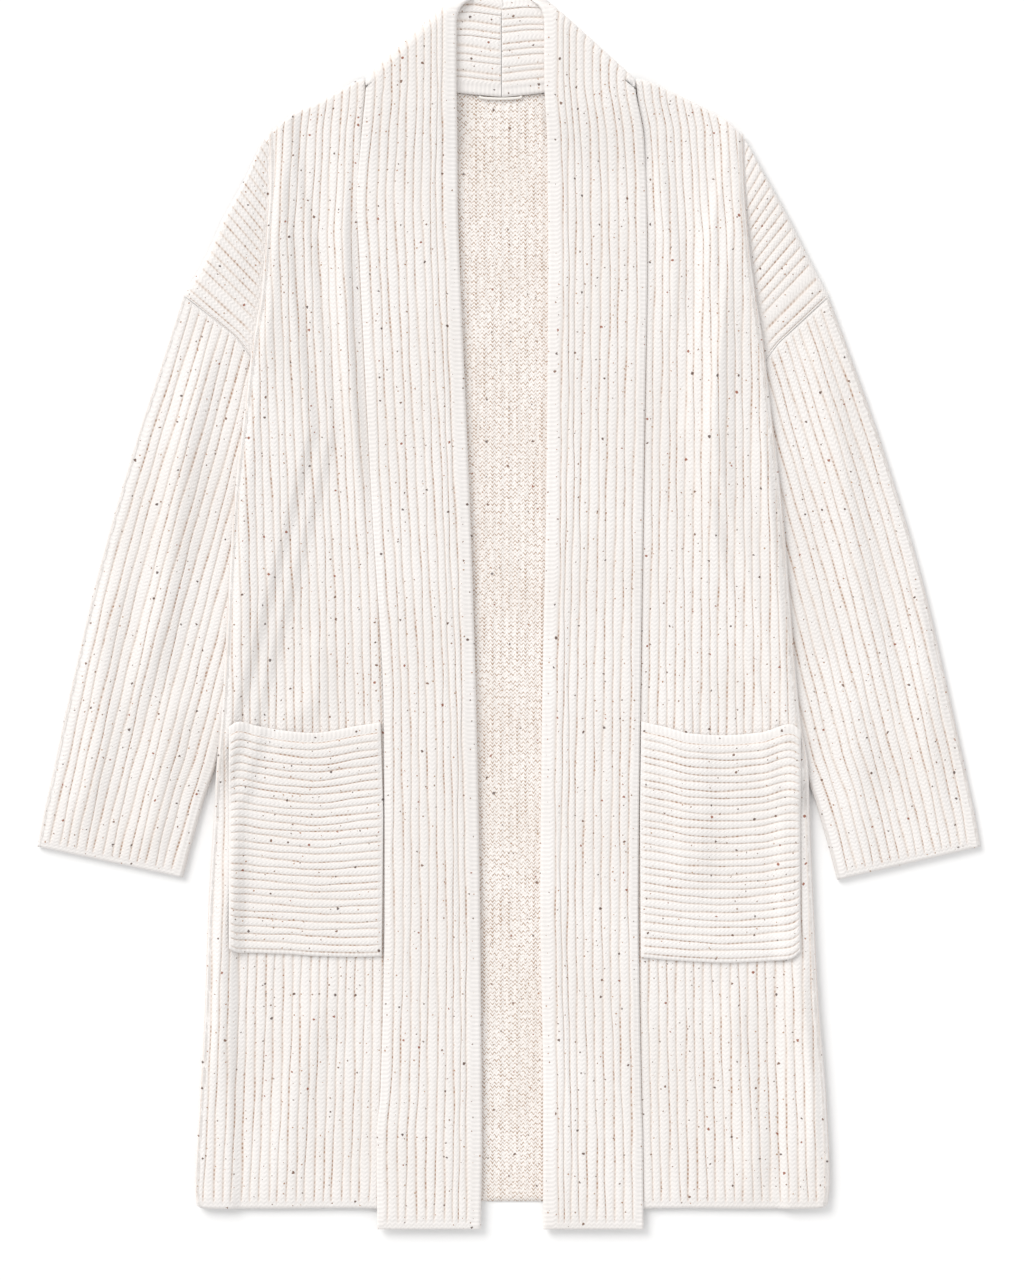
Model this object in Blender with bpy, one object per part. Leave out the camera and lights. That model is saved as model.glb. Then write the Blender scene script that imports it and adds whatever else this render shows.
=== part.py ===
"""Oversized rib-knit cardigan, laid flat and face up.

Metres, +Z up. The garment lies on Z = 0, its collar towards +Y, and the wearer's left is +X.
Sizes below are in millimetres. "Out" is the distance from the centre line towards a side.
Each piece is a wall of knit: a ribbed outer sheet over a plain inner sheet, joined by rims.
"""
import math

import bmesh
import bpy
import numpy as np

MM = 0.001

# Wall of the knit, and the layers that it makes when the garment lies flat
WALL = 3.0
GROOVE = 2.6
CREST = 3.8
SEAM_GAP = 0.4
SLIT = 0.5
HALF_DOUBLE = WALL + SLIT / 2
FRONT_Z = WALL + SEAM_GAP
SLEEVE_TOP = WALL + SLIT + CREST
OVER_SLEEVE = SLEEVE_TOP + 0.3 - FRONT_Z
OVER_TAIL = WALL + SLIT
POCKET_LIFT = CREST + SEAM_GAP
FREE_EDGE = WALL * 0.45

# Shares of a wall's thickness at its rounded ends, and angles of the corners round a fold
ROUNDING = 0.85
BLUNT_END = 0.5
SHOULDER_END = 0.3
FRONT_END = 0.25
FOLD_TURNS = (45.0, 0.0, -45.0)
BAND_TURNS = (60.0, 30.0, 0.0, -30.0, -60.0)
TURN_ROOM = 1.5

# Rib counts
BAND_RIBS = 11
FRONT_RIBS = 21
SLEEVE_RIBS = 16
SHOULDER_RIBS = 19
POCKET_RIBS = 28

# Band
BAND_LAP = 6.8
UNDER_LAP = 4.6
FOLD_RADIUS = 3.9
CENTRE_BACK = -6.8
NECK_RISE_Y = 436.0
NECK_RISE_RUN = 24.0
NECK_SEAM_GAP = 2.4
NECK_LIFT_RUN = 70.0
PAST_FOLD = 7.0
BEHIND_NECK = 600.0
BACK_HEM = -528.3

# Side marks along the body
CROTCH_Y = -137.0
UNDERARM_Y = 165.0
UNDERARM_OUT = 183.0
APEX_Y = 426.0
TAIL_LAP = 15.0
TAIL_MIN = 5.0
GATE_LOW, GATE_LOW_RUN = -172.0, 33.0
GATE_HIGH, GATE_HIGH_RUN = 325.0, 90.0
TUCK_RAMP = 14.0
RAMP_RUN = 12.0
RAMP_STEPS = (18.0, 14.0, 10.0, 6.0)
TAIL_STEPS = (1.0, 0.6, 0.25, 0.0)
FRONT_BOTTOM = -534.0
HEM_EASE = 80.0
SHOULDER_EASE_Y = 250.0
EDGE_INSET = 1.0

# Drop shoulder: height of its first and last rib under the side fold, and how its ribs reach the armhole
DROP_TOP_Y = 400.0
DROP_END_Y = 172.0
DROP_UNDER = 11.0
DROP_STEP = 7.0
ALONG_SEAM = 0.2
SEAM_END = 0.97
DROP_LIFT = 0.1

# Edge of the front band, columns: y, opening edge out, seam edge out
BAND = {
    "right": (
        (-551.0, 25.2, 118.3), (-470.0, 24.0, 118.8), (-430.0, 24.3, 115.5), (-260.0, 26.0, 111.8),
        (-95.0, 29.0, 112.5), (100.0, 35.1, 123.3), (205.0, 39.5, 128.7), (320.0, 44.4, 134.3),
        (371.0, 46.0, 136.5), (426.0, 46.3, 132.6), (482.0, 47.0, 128.0), (545.0, 47.0, 128.0),
        (575.0, 43.5, 128.0), (700.0, 43.5, 128.0),
    ),
    "left": (
        (-551.0, 30.6, 120.8), (-470.0, 30.6, 120.0), (-430.0, 30.6, 118.8), (-260.0, 28.0, 116.3),
        (-95.0, 29.5, 117.8), (100.0, 33.3, 120.6), (205.0, 34.3, 122.3), (320.0, 35.1, 124.2),
        (371.0, 34.8, 123.5), (426.0, 34.2, 121.0), (482.0, 31.5, 112.5), (545.0, 31.5, 112.5),
        (575.0, 28.0, 112.5), (700.0, 28.0, 112.5),
    ),
}
# Diagonal along which each band folds behind the neck: point on it, angle, and lift of the part behind
NECK_FOLD = {
    "right": {"out": 45.7, "y": 548.6, "angle": 42.6, "lift": -4.0},
    "left": {"out": 26.8, "y": 548.6, "angle": 42.0, "lift": -0.5},
}
# Edge of the body, columns: y, out
SIDE = {
    "right": (
        (-534.0, 276.0), (-530.0, 281.0), (-509.0, 282.4), (-440.0, 278.3), (-346.0, 273.2), (-263.0, 270.0),
        (-205.0, 266.4), (-137.0, 262.4), (-95.0, 258.3), (103.0, 246.6), (196.0, 235.8), (236.0, 231.0),
        (288.0, 222.3), (325.0, 218.9), (389.0, 215.3), (427.0, 216.0),
    ),
    "left": (
        (-534.0, 280.0), (-530.0, 286.0), (-509.0, 288.0), (-440.0, 285.2), (-346.0, 278.0), (-263.0, 273.5),
        (-205.0, 271.0), (-137.0, 268.4), (-95.0, 261.5), (103.0, 244.5), (196.0, 233.5), (236.0, 229.0),
        (288.0, 221.0), (325.0, 215.8), (389.0, 211.2), (427.0, 210.5),
    ),
}
# Shoulder from the band down over the drop shoulder to the armhole, columns: out, y
SHOULDER = {
    "right": (
        (121.0, 464.0), (128.4, 468.5), (131.8, 481.0), (152.1, 471.6), (168.3, 462.6), (188.1, 453.6),
        (201.6, 444.6), (211.5, 435.6), (219.6, 426.6), (237.6, 390.6), (257.4, 354.6), (273.6, 318.6),
        (292.5, 286.0),
    ),
    "left": (
        (106.0, 462.0), (112.9, 467.0), (116.3, 481.5), (143.1, 471.6), (162.0, 462.6), (179.1, 453.6),
        (194.4, 444.6), (204.3, 435.6), (211.5, 426.6), (232.2, 390.6), (252.0, 354.6), (270.0, 318.6),
        (287.5, 285.0),
    ),
}
SHOULDER_APEX = 8
# Inner line of the cloth tucked under the body's side, columns: y, out
TUCK = ((CROTCH_Y, 263.0), (UNDERARM_Y, UNDERARM_OUT), (300.0, 200.0), (APEX_Y, 209.0))
# Armhole seam from the outer edge to the underarm, columns: fraction, out, y
ARMHOLE = {
    "right": ((0.0, 292.5, 286.0), (0.42, 246.6, 251.0), (1.0, 183.0, 165.0)),
    "left": ((0.0, 287.5, 285.0), (0.42, 243.0, 244.0), (1.0, 183.0, 165.0)),
}
# Sleeve, columns: fraction from cuff to armhole, y outer edge, out, y inner edge, out
SLEEVE = {
    "right": (
        (0.0, -209.0, 423.9, -237.0, 293.0), (0.06, -184.0, 419.2, -212.0, 286.6),
        (0.16, -135.0, 408.7, -167.0, 274.0), (0.25, -90.0, 399.0, -137.0, 263.0),
        (0.5, 31.0, 370.8, -20.0, 231.8), (0.75, 150.0, 337.0, 85.0, 204.0),
        (0.9, 235.0, 309.0, 140.0, 189.5), (1.0, 286.0, 292.5, 165.0, 183.0),
    ),
    "left": (
        (0.0, -209.0, 424.2, -239.0, 295.0), (0.06, -184.0, 419.7, -212.0, 288.0),
        (0.16, -135.0, 409.4, -167.0, 275.0), (0.25, -90.0, 399.6, -137.0, 263.0),
        (0.5, 31.0, 371.7, -20.0, 231.8), (0.75, 150.0, 336.0, 85.0, 204.0),
        (0.9, 235.0, 306.0, 140.0, 189.5), (1.0, 285.0, 287.5, 165.0, 183.0),
    ),
}
# Patch pocket, columns: out, y of its top edge, y of its bottom edge
POCKET = {
    "right": (
        (112.9, -97.2, -307.5), (135.0, -100.5, -308.0), (174.6, -106.7, -307.0), (195.3, -105.3, -305.5),
        (225.0, -100.5, -304.5), (242.1, -96.3, -304.0), (251.0, -101.0, -300.0),
    ),
    "left": (
        (117.6, -96.3, -308.5), (140.0, -101.5, -310.5), (162.0, -107.1, -312.0), (191.7, -108.9, -313.2),
        (225.9, -106.2, -312.0), (252.0, -98.5, -309.5), (261.5, -104.0, -303.0),
    ),
}
# Rib pitch on the fronts, columns: y, pitch
FRONT_PITCH = ((-534.0, 8.2), (-250.0, 8.0), (-100.0, 7.8), (250.0, 7.2), (480.0, 6.9))
# Hem of each front, columns: out, y
FRONT_HEM = ((110.0, -534.6), (150.0, -533.9), (220.0, -534.4), (275.0, -533.7), (290.0, -532.0))
# Rows of the fronts, as heights at their side edge
FRONT_ROWS = (
    -534.0, -531.5, -526.0, -370.0, -205.0, -170.0, -152.0, -137.0, -95.0, -45.0, 5.0, 60.0, 115.0, 165.0,
    205.0, 245.0, 295.0, 340.0, 380.0, 412.0, 426.0,
)
# Steps along a rib of the drop shoulder, from the shoulder edge to the side fold
SHOULDER_STEPS = (0.0, 0.06, 0.75, 1.0)
# Rows of the bands below the neck
BAND_ROWS = (
    -552.5, -550.0, -545.0, -400.0, -180.0, 20.0, 205.0, 340.0, NECK_RISE_Y, NECK_RISE_Y + NECK_RISE_RUN / 2,
    NECK_RISE_Y + NECK_RISE_RUN,
)
# Steps along a sleeve, from its cuff, and across the back, from side to side
SLEEVE_STEPS = (0.0, 0.006, 0.016, 0.1, 0.18, 0.25, 0.36, 0.5, 0.63, 0.75, 0.88, 0.985, 1.0)
SEAM_BLEND = 0.75
BACK_STEPS = (0.0, 0.012, 0.25, 0.5, 0.75, 0.988, 1.0)
BACK_ROWS = (-370.0, -205.0, -160.0)
BACK_INSET = 1.5
BACK_CORNER = 9.0
BACK_RIM = 0.6
SCOOP_Y = 430.0
# Plain edges of a pocket: heights up from its bottom edge and down from its top edge
POCKET_LOW = (0.0, 2.0, 4.0)
POCKET_HIGH = (9.0, 5.0, 1.8, 0.0)
POCKET_SIDE = 1.8
POCKET_STEPS = (0.45, 0.8, 0.92)
UNDER_POCKET = ((-5.0, 0.0, 5.0), (-12.0, 0.0, 12.0))
# Hanger loop, columns: x, y
LOOP = (
    (-26.8, 465.4), (-25.6, 464.2), (-20.0, 463.4), (-8.0, 463.0), (4.0, 463.4), (10.2, 464.2), (11.4, 465.4),
)
LOOP_RADIUS = 1.2
LOOP_STEPS = 14

COLOURS = {
    "body": (0.86, 0.83, 0.78, 1.0),
    "inside": (0.82, 0.78, 0.73, 1.0),
}


def smooth(value):
    """Smooth step from 0 to 1 over the unit interval."""
    value = min(max(value, 0.0), 1.0)
    return value * value * (3 - 2 * value)


def along(table, position, column=1):
    """Value of a table's column at a position in its first column, on a shape-keeping cubic."""
    keys = [row[0] for row in table]
    values = [row[column] for row in table]
    if position <= keys[0]:
        return values[0]
    if position >= keys[-1]:
        return values[-1]
    spans = [keys[i + 1] - keys[i] for i in range(len(keys) - 1)]
    slopes = [(values[i + 1] - values[i]) / spans[i] for i in range(len(spans))]
    tangents = [slopes[0]]
    for i in range(1, len(slopes)):
        before, after = slopes[i - 1], slopes[i]
        same_way = before * after > 0
        tangents.append(2 * before * after / (before + after) if same_way else 0.0)
    tangents.append(slopes[-1])
    i = max(k for k in range(len(spans)) if keys[k] <= position)
    t = (position - keys[i]) / spans[i]
    return (
        values[i] * (1 + 2 * t) * (1 - t) ** 2
        + values[i + 1] * t * t * (3 - 2 * t)
        + spans[i] * (tangents[i] * t * (1 - t) ** 2 - tangents[i + 1] * t * t * (1 - t))
    )


def straight(table, position, column=1):
    """Value of a table's column at a position, on straight runs."""
    return float(np.interp(position, [row[0] for row in table], [row[column] for row in table]))


def band_seam(side, y):
    """Seam between band and front, on straight runs between the band's rows."""
    rows = BAND_ROWS + (BAND_ROWS[-1] + NECK_RISE_RUN,)
    return float(np.interp(y, rows, [along(BAND[side], row, 2) for row in rows]))


def tuck_inner(side, y):
    """Inner line of the cloth that is tucked under the body's side."""
    return min(straight(TUCK, y), along(SIDE[side], y))


def sleeve_gate(y):
    """1 where the body lies over the sleeve or its own fold, 0 below the crotch and at the shoulder."""
    return smooth((y - GATE_LOW) / GATE_LOW_RUN) * (1 - smooth((y - GATE_HIGH) / GATE_HIGH_RUN))


def tail_bottom(side, out, y):
    """Underside of the layer that the body's side folds back under itself."""
    inside = tuck_inner(side, y) - out
    return FRONT_Z + OVER_SLEEVE * sleeve_gate(y) * smooth((TUCK_RAMP - inside) / RAMP_RUN)


def tail_length(side, y):
    """How far the side folds back under the front, from its edge."""
    gate = sleeve_gate(y)
    lap = TAIL_LAP * gate + TAIL_MIN * (1 - gate)
    return max(along(SIDE[side], y) - tuck_inner(side, y), 0.0), lap


def neck_rise(y):
    """Height that the band gains where it lies over its own part behind the neck."""
    return (2 * FOLD_RADIUS - FRONT_Z) * smooth((y - NECK_RISE_Y) / NECK_RISE_RUN)


def front_bottom(side, out, y):
    """Underside of a front panel."""
    reach, lap = tail_length(side, y)
    from_edge = along(SIDE[side], y) - out
    raised = OVER_TAIL * smooth((reach + lap + RAMP_STEPS[0] - from_edge) / RAMP_RUN)
    return tail_bottom(side, out, y) + raised


def rib(column):
    """Thickness of the wall at a rib column: even columns are grooves and odd ones crests."""
    return CREST if column % 2 else GROOVE


def end_share(row, blunt=BLUNT_END):
    """Share of the wall's thickness in a row counted from a rounded end."""
    return (blunt, ROUNDING)[row] if row < 2 else 1.0


def turned(angle):
    """Cosine and sine of an angle in degrees."""
    return math.cos(math.radians(angle)), math.sin(math.radians(angle))


class Wall:
    """A closed wall between an outer and an inner sheet of points, given as rows of columns."""

    def __init__(self, side="left"):
        self.mesh = bmesh.new()
        self.found = {}
        self.across = -MM if side == "right" else MM

    def vertex(self, point):
        key = tuple(round(value, 3) for value in point)
        if key not in self.found:
            self.found[key] = self.mesh.verts.new((point[0] * self.across, point[1] * MM, point[2] * MM))
        return self.found[key]

    def face(self, *points):
        corners = []
        for point in points:
            vertex = self.vertex(point)
            if vertex not in corners:
                corners.append(vertex)
        if len(corners) < 3:
            return
        if len(corners) == 4:
            self.triangle(corners[0], corners[1], corners[2])
            self.triangle(corners[0], corners[2], corners[3])
        else:
            self.triangle(*corners)

    def triangle(self, *corners):
        if len(set(corners)) == 3 and self.mesh.faces.get(corners) is None:
            self.mesh.faces.new(corners)

    def sheets(self, outer, inner, outer_keys, inner_keys, closed=False):
        """Join an outer and an inner sheet. The keys say which columns of the end rows lie side by side."""
        for sheet, flip in ((outer, False), (inner, True)):
            for low, high in zip(sheet[:-1], sheet[1:]):
                for j in range(len(low) - 1):
                    corners = (low[j], low[j + 1], high[j + 1], high[j])
                    self.face(*(corners[::-1] if flip else corners))
        if not closed:
            for i in range(len(outer) - 1):
                self.face(outer[i][0], outer[i + 1][0], inner[i + 1][0], inner[i][0])
                self.face(outer[i + 1][-1], outer[i][-1], inner[i][-1], inner[i + 1][-1])
        for i in (0, -1):
            self.rim(outer[i], inner[i], outer_keys[i], inner_keys[i])

    def rim(self, outer, inner, outer_keys, inner_keys):
        """Close the strip between an outer and an inner edge, step by step along their keys."""
        j = k = 0
        while j < len(outer) - 1 or k < len(inner) - 1:
            outer_next = outer_keys[j + 1] if j < len(outer) - 1 else math.inf
            inner_next = inner_keys[k + 1] if k < len(inner) - 1 else math.inf
            if outer_next <= inner_next:
                self.face(outer[j], outer[j + 1], inner[k])
                j += 1
            else:
                self.face(outer[j], inner[k + 1], inner[k])
                k += 1

    def thinned(self, outer, inner, kept):
        """Join two sheets of like columns, of which the inner one keeps only some."""
        keys = range(len(outer[0]))
        self.sheets(outer, [[row[k] for k in kept] for row in inner], (keys, keys), (kept, kept))

    def object(self, name):
        """Finish the wall as an object whose faces point out."""
        bmesh.ops.recalc_face_normals(self.mesh, faces=self.mesh.faces)
        data = bpy.data.meshes.new(name)
        self.mesh.to_mesh(data)
        self.mesh.free()
        return place(name, data)


def place(name, data):
    """Add an object to the garment's collection."""
    piece = bpy.data.objects.new(name, data)
    collection.objects.link(piece)
    return piece


def knit(name, colour):
    """Matt knitted wool in one of the garment's two creams."""
    material = bpy.data.materials.new(name)
    material.use_nodes = True
    shader = material.node_tree.nodes["Principled BSDF"]
    shader.inputs["Base Color"].default_value = colour
    shader.inputs["Roughness"].default_value = 0.95
    shader.inputs["Metallic"].default_value = 0.0
    return material


def dress(piece, colour):
    """Give a piece its own knit material."""
    piece.data.materials.append(knit(piece.name + "_knit", COLOURS[colour]))
    return piece


def front_y(side, out, row_y):
    """Height of a front's row at a distance out: level low down, along hem and shoulder at its ends."""
    shoulder = along(SHOULDER[side], out) - APEX_Y - EDGE_INSET
    hem = along(FRONT_HEM, out) - FRONT_BOTTOM
    at_shoulder = smooth((row_y - SHOULDER_EASE_Y) / (APEX_Y - SHOULDER_EASE_Y))
    return row_y + shoulder * at_shoulder + hem * (1 - smooth((row_y - FRONT_BOTTOM) / HEM_EASE))


def front_row(side, i):
    """One row of a front, from the band seam round the side fold to its tail: points and their keys."""
    row_y = FRONT_ROWS[i]
    last = len(FRONT_ROWS) - 1
    near_edge = min(end_share(i), end_share(last - i, FRONT_END))
    ribbed = 0.0 if i < 2 or i == last else 1.0
    edge = along(SIDE[side], row_y)
    for _ in range(6):
        edge = along(SIDE[side], front_y(side, edge, row_y))
    limit = edge - HALF_DOUBLE
    limit_y = front_y(side, limit, row_y)
    outer, outer_keys = [], []
    for j in range(2 * FRONT_RIBS + 1):
        y = row_y
        for _ in range(4):
            seam = band_seam(side, y)
            spacing = along(FRONT_PITCH, y) / 2
            out = seam - UNDER_LAP if j == 0 else seam + SEAM_GAP + spacing * (j - 1)
            y = front_y(side, min(out, limit), row_y)
        clamped = out > limit - 0.3 * spacing
        out = limit if clamped else out
        y = front_y(side, out, row_y)
        thick = WALL if clamped or j < 2 else WALL + (rib(j + 1) - WALL) * ribbed
        outer.append((out, y, front_bottom(side, out, y) + thick * near_edge))
        outer_keys.append(out)
    seam = outer[0][0]
    reach, lap = tail_length(side, limit_y)
    steps = [reach + lap + step for step in RAMP_STEPS]
    steps += [reach + lap * share for share in TAIL_STEPS] + [reach / 2, 0.0]
    ramp_start = limit - steps[0]
    inner_keys = [seam + (ramp_start - seam) * share for share in (0.0, 0.35, 0.7)]
    inner_keys += [limit - step for step in steps]
    inner = []
    for out in inner_keys:
        y = front_y(side, out, row_y)
        inner.append((out, y, front_bottom(side, out, y)))
    middle = tail_bottom(side, limit, limit_y) + HALF_DOUBLE
    for angle in FOLD_TURNS:
        across, up = turned(angle)
        full = SLIT / 2 + WALL * (near_edge if angle > 0 else 1.0)
        outer.append((limit + across * HALF_DOUBLE, limit_y, middle + up * full))
        inner.append((limit + across * SLIT / 2, limit_y, middle + up * SLIT / 2))
    for share, extra in ((0.0, 0.0), (1.0, 0.0), (1.0, 0.3), (1.0, 0.65), (1.0, 1.0)):
        out = limit - reach * share - lap * extra
        low = tail_bottom(side, out, limit_y)
        outer.append((out, limit_y, low))
        inner.append((out, limit_y, low + WALL))
    beyond = [limit + step for step in range(1, 9)]
    return outer, inner, outer_keys + beyond, inner_keys + beyond


def shoulder_line(side, k, lines):
    """One rib line of the drop shoulder, from the shoulder edge to its plain end under the side fold."""
    share = k / (lines - 1)
    table = SHOULDER[side]
    apex_out = table[SHOULDER_APEX][0]
    start_out = apex_out + (table[-1][0] - apex_out) * share
    start = (start_out, along(table, start_out))
    end_y = DROP_TOP_Y + (DROP_END_Y - DROP_TOP_Y) * share
    end = (tuck_inner(side, end_y) - DROP_UNDER, end_y)
    to_seam = max(share - 1 + ALONG_SEAM, 0.0) / ALONG_SEAM

    def point(q):
        out = start[0] + (end[0] - start[0]) * q
        y = start[1] + (end[1] - start[1]) * q
        out += (straight(ARMHOLE[side], q * SEAM_END) - out) * to_seam
        y += (straight(ARMHOLE[side], q * SEAM_END, 2) + SEAM_GAP - y) * to_seam
        return out, y

    under_fold = 0.0
    while under_fold < 0.9 and point(under_fold)[0] > along(SIDE[side], point(under_fold)[1]) - EDGE_INSET:
        under_fold += 0.01
    length = math.dist(start, end)
    steps = [under_fold * part for part in SHOULDER_STEPS]
    steps += [min(under_fold + DROP_STEP / length, SEAM_END), 1.0]
    outer, inner = [], []
    for i, q in enumerate(steps):
        out, y = point(q)
        ribbed = 0 < i < len(SHOULDER_STEPS) and 0 < k < lines - 1
        thick = (rib(k) if ribbed else WALL) * end_share(i, SHOULDER_END)
        outer.append((out, y, FRONT_Z + DROP_LIFT + thick))
        inner.append((out, y, FRONT_Z + DROP_LIFT))
    return outer, inner


def front(side):
    """Front panel with its drop shoulder, which comes out from under the side fold."""
    body = Wall(side)
    outer, inner, outer_keys, inner_keys = zip(*(front_row(side, i) for i in range(len(FRONT_ROWS))))
    body.sheets(outer, inner, outer_keys, inner_keys)
    panel = body.object(side + "_front")
    drop = Wall(side)
    count = 2 * SHOULDER_RIBS + 1
    lines = [shoulder_line(side, k, count) for k in range(count)]
    steps = range(len(SHOULDER_STEPS) + 2)
    outer = [[line[0][i] for line in lines] for i in steps]
    inner = [[line[1][i] for line in lines] for i in steps]
    drop.thinned(outer, inner, [0, *range(4, count - 4, 4), count - 3, count - 1])
    yoke = drop.object(side + "_shoulder")
    collection.objects.unlink(yoke)
    cutters.objects.link(yoke)
    yoke.hide_render = True
    yoke.display_type = "WIRE"
    join = panel.modifiers.new("drop_shoulder", "BOOLEAN")
    join.operation = "UNION"
    join.object = yoke
    return dress(panel, "body")


def band_flat(side, across, run):
    """Point of the unfolded band: across from its opening edge (0 to 1), run along it."""
    opening = along(BAND[side], run)
    seam = along(BAND[side], run, 2)
    return opening + (seam - opening) * across


def band_point(side, out, run, height):
    """Fold the band behind the neck about the diagonal, and give the point in place."""
    fold = NECK_FOLD[side]
    angle = math.radians(fold["angle"])
    normal = (math.sin(angle), math.cos(angle))
    past = (out - fold["out"]) * normal[0] + (run - fold["y"]) * normal[1]
    middle = FRONT_Z + HALF_DOUBLE + neck_rise(run)
    if past <= 0:
        return (out, run, middle + height)
    turn = min(past / FOLD_RADIUS, math.pi)
    beyond = past - turn * FOLD_RADIUS
    shift = (FOLD_RADIUS + height) * math.sin(turn) - beyond - past
    rise = middle - FOLD_RADIUS + (FOLD_RADIUS + height) * math.cos(turn)
    lift = fold["lift"] * smooth(beyond / NECK_LIFT_RUN)
    return (out + shift * normal[0], run + shift * normal[1] + lift, rise)


def band_runs(side):
    """Rows of the band as runs at its opening and seam edges, turning to lie along the neck fold."""
    fold = NECK_FOLD[side]
    angle = math.radians(fold["angle"])
    ends = (along(BAND[side], BEHIND_NECK), along(BAND[side], BEHIND_NECK, 2))
    on_fold = [fold["y"] - (end - fold["out"]) * math.tan(angle) for end in ends]
    runs = [(y, y) for y in BAND_ROWS]
    runs.append(tuple((BAND_ROWS[-1] + level) / 2 for level in on_fold))
    half_turn = math.pi * FOLD_RADIUS
    for past in (-1.0, half_turn * 0.3, half_turn * 0.65, half_turn, half_turn + PAST_FOLD):
        runs.append(tuple(level + past / math.cos(angle) for level in on_fold))
    centre = (CENTRE_BACK if side == "left" else -CENTRE_BACK) + SEAM_GAP / 2
    beyond = [(end - centre + half_turn * math.sin(angle)) / math.sin(2 * angle) for end in ends]
    start = (half_turn + PAST_FOLD) / math.cos(angle)
    for share in (0.5, 1.0):
        runs.append(tuple(level + start + (length - start) * share for level, length in zip(on_fold, beyond)))
    return runs


def band_section(width, ribbed_up, ribbed_down, edge, coarse):
    """Outer and inner line round the doubled band, as pairs of a share of its width and a height."""
    columns = 2 * BAND_RIBS + 1
    last = columns - 1
    first = HALF_DOUBLE / width
    span = 1 - (HALF_DOUBLE + TURN_ROOM) / width
    outer, inner = [], []
    for j in range(columns, -1, -1):
        free = j == columns
        reach = 1.0 if free else first + span * j / last
        thick = FREE_EDGE if free else WALL + (rib(j) - WALL) * ribbed_up
        outer.append((reach, SLIT / 2 + thick * edge))
        inner.append((reach, SLIT / 2))
    full = SLIT / 2 + WALL * edge
    for angle in BAND_TURNS:
        across, up = turned(angle)
        outer.append(((HALF_DOUBLE - HALF_DOUBLE * across) / width, full * up))
        inner.append(((HALF_DOUBLE - SLIT / 2 * across) / width, SLIT / 2 * up))
    short = 1 - BAND_LAP / width
    span = short - (HALF_DOUBLE + TURN_ROOM) / width
    for column in range(columns + 1):
        free = column == columns
        j = column - column % 4 if coarse and not free else column
        reach = short if free else first + span * j / last
        thick = FREE_EDGE if free else WALL + (rib(j) - WALL) * ribbed_down
        outer.append((reach, -SLIT / 2 - thick * edge))
        inner.append((reach, -SLIT / 2))
    return outer, inner


def band(side):
    """Doubled band: up the front, over at the neck fold and along the back neck to the centre seam."""
    wall = Wall(side)
    sheets = ([], [])
    runs = band_runs(side)
    folded = len(runs) - 4
    for i, (run_opening, run_seam) in enumerate(runs):
        ribbed_up = 1.0 if 2 <= i < folded - 2 else 0.0
        ribbed_down = 1.0 if folded < i < len(runs) - 1 else 0.0
        width = band_flat(side, 1.0, run_seam) - band_flat(side, 0.0, run_opening)
        sections = band_section(width, ribbed_up, ribbed_down, end_share(i), i < folded)
        for section, rows in zip(sections, sheets):
            row = []
            for reach, height in section:
                run = run_opening + (run_seam - run_opening) * reach
                row.append(band_point(side, band_flat(side, reach, run), run, height))
            rows.append(row)
    up_end = 2 * BAND_RIBS + 1
    down_start = up_end + len(BAND_TURNS) + 1
    last = len(sheets[0][0]) - 1
    kept = [0, 1, 9, 17, *range(up_end, down_start + 1), down_start + 8, down_start + 16, last - 1, last]
    wall.thinned(*sheets, kept)
    return dress(wall.object(side + "_band"), "body")


def neck_seam(side):
    """Lower edge of the band behind the neck, as pairs of out and y from the fold to the centre."""
    fold = NECK_FOLD[side]
    seam = along(BAND[side], BEHIND_NECK, 2)
    level = fold["y"] - (seam - fold["out"]) * math.tan(math.radians(fold["angle"]))
    start = math.pi * FOLD_RADIUS / math.cos(math.radians(fold["angle"]))
    points = [band_point(side, seam, level + start + step, 0.0) for step in np.linspace(0.0, 126.0, 15)]
    return [(point[0], point[1]) for point in points]


def back_edge(side):
    """Edge of the back from the hem up to the shoulder at the neck, as pairs of out and y."""
    points = [(along(SIDE[side], BACK_HEM) - BACK_CORNER, BACK_HEM)]
    for y in (BACK_HEM + BACK_CORNER / 2, *BACK_ROWS):
        points.append((along(SIDE[side], y) - BACK_INSET, y))
    points.append((tuck_inner(side, CROTCH_Y) - 2 * BACK_INSET, CROTCH_Y))
    points.append((UNDERARM_OUT - BACK_INSET, UNDERARM_Y - EDGE_INSET))
    for row in ARMHOLE[side][::-1]:
        points.append((row[1] - SEAM_GAP, row[2] + SEAM_GAP))
    for row in SHOULDER[side][-2:2:-1]:
        points.append((row[0] - BACK_INSET, row[1] - BACK_INSET))
    seam_start = max(neck_seam(side))
    points.append((seam_start[0], seam_start[1] - NECK_SEAM_GAP))
    return points


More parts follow.
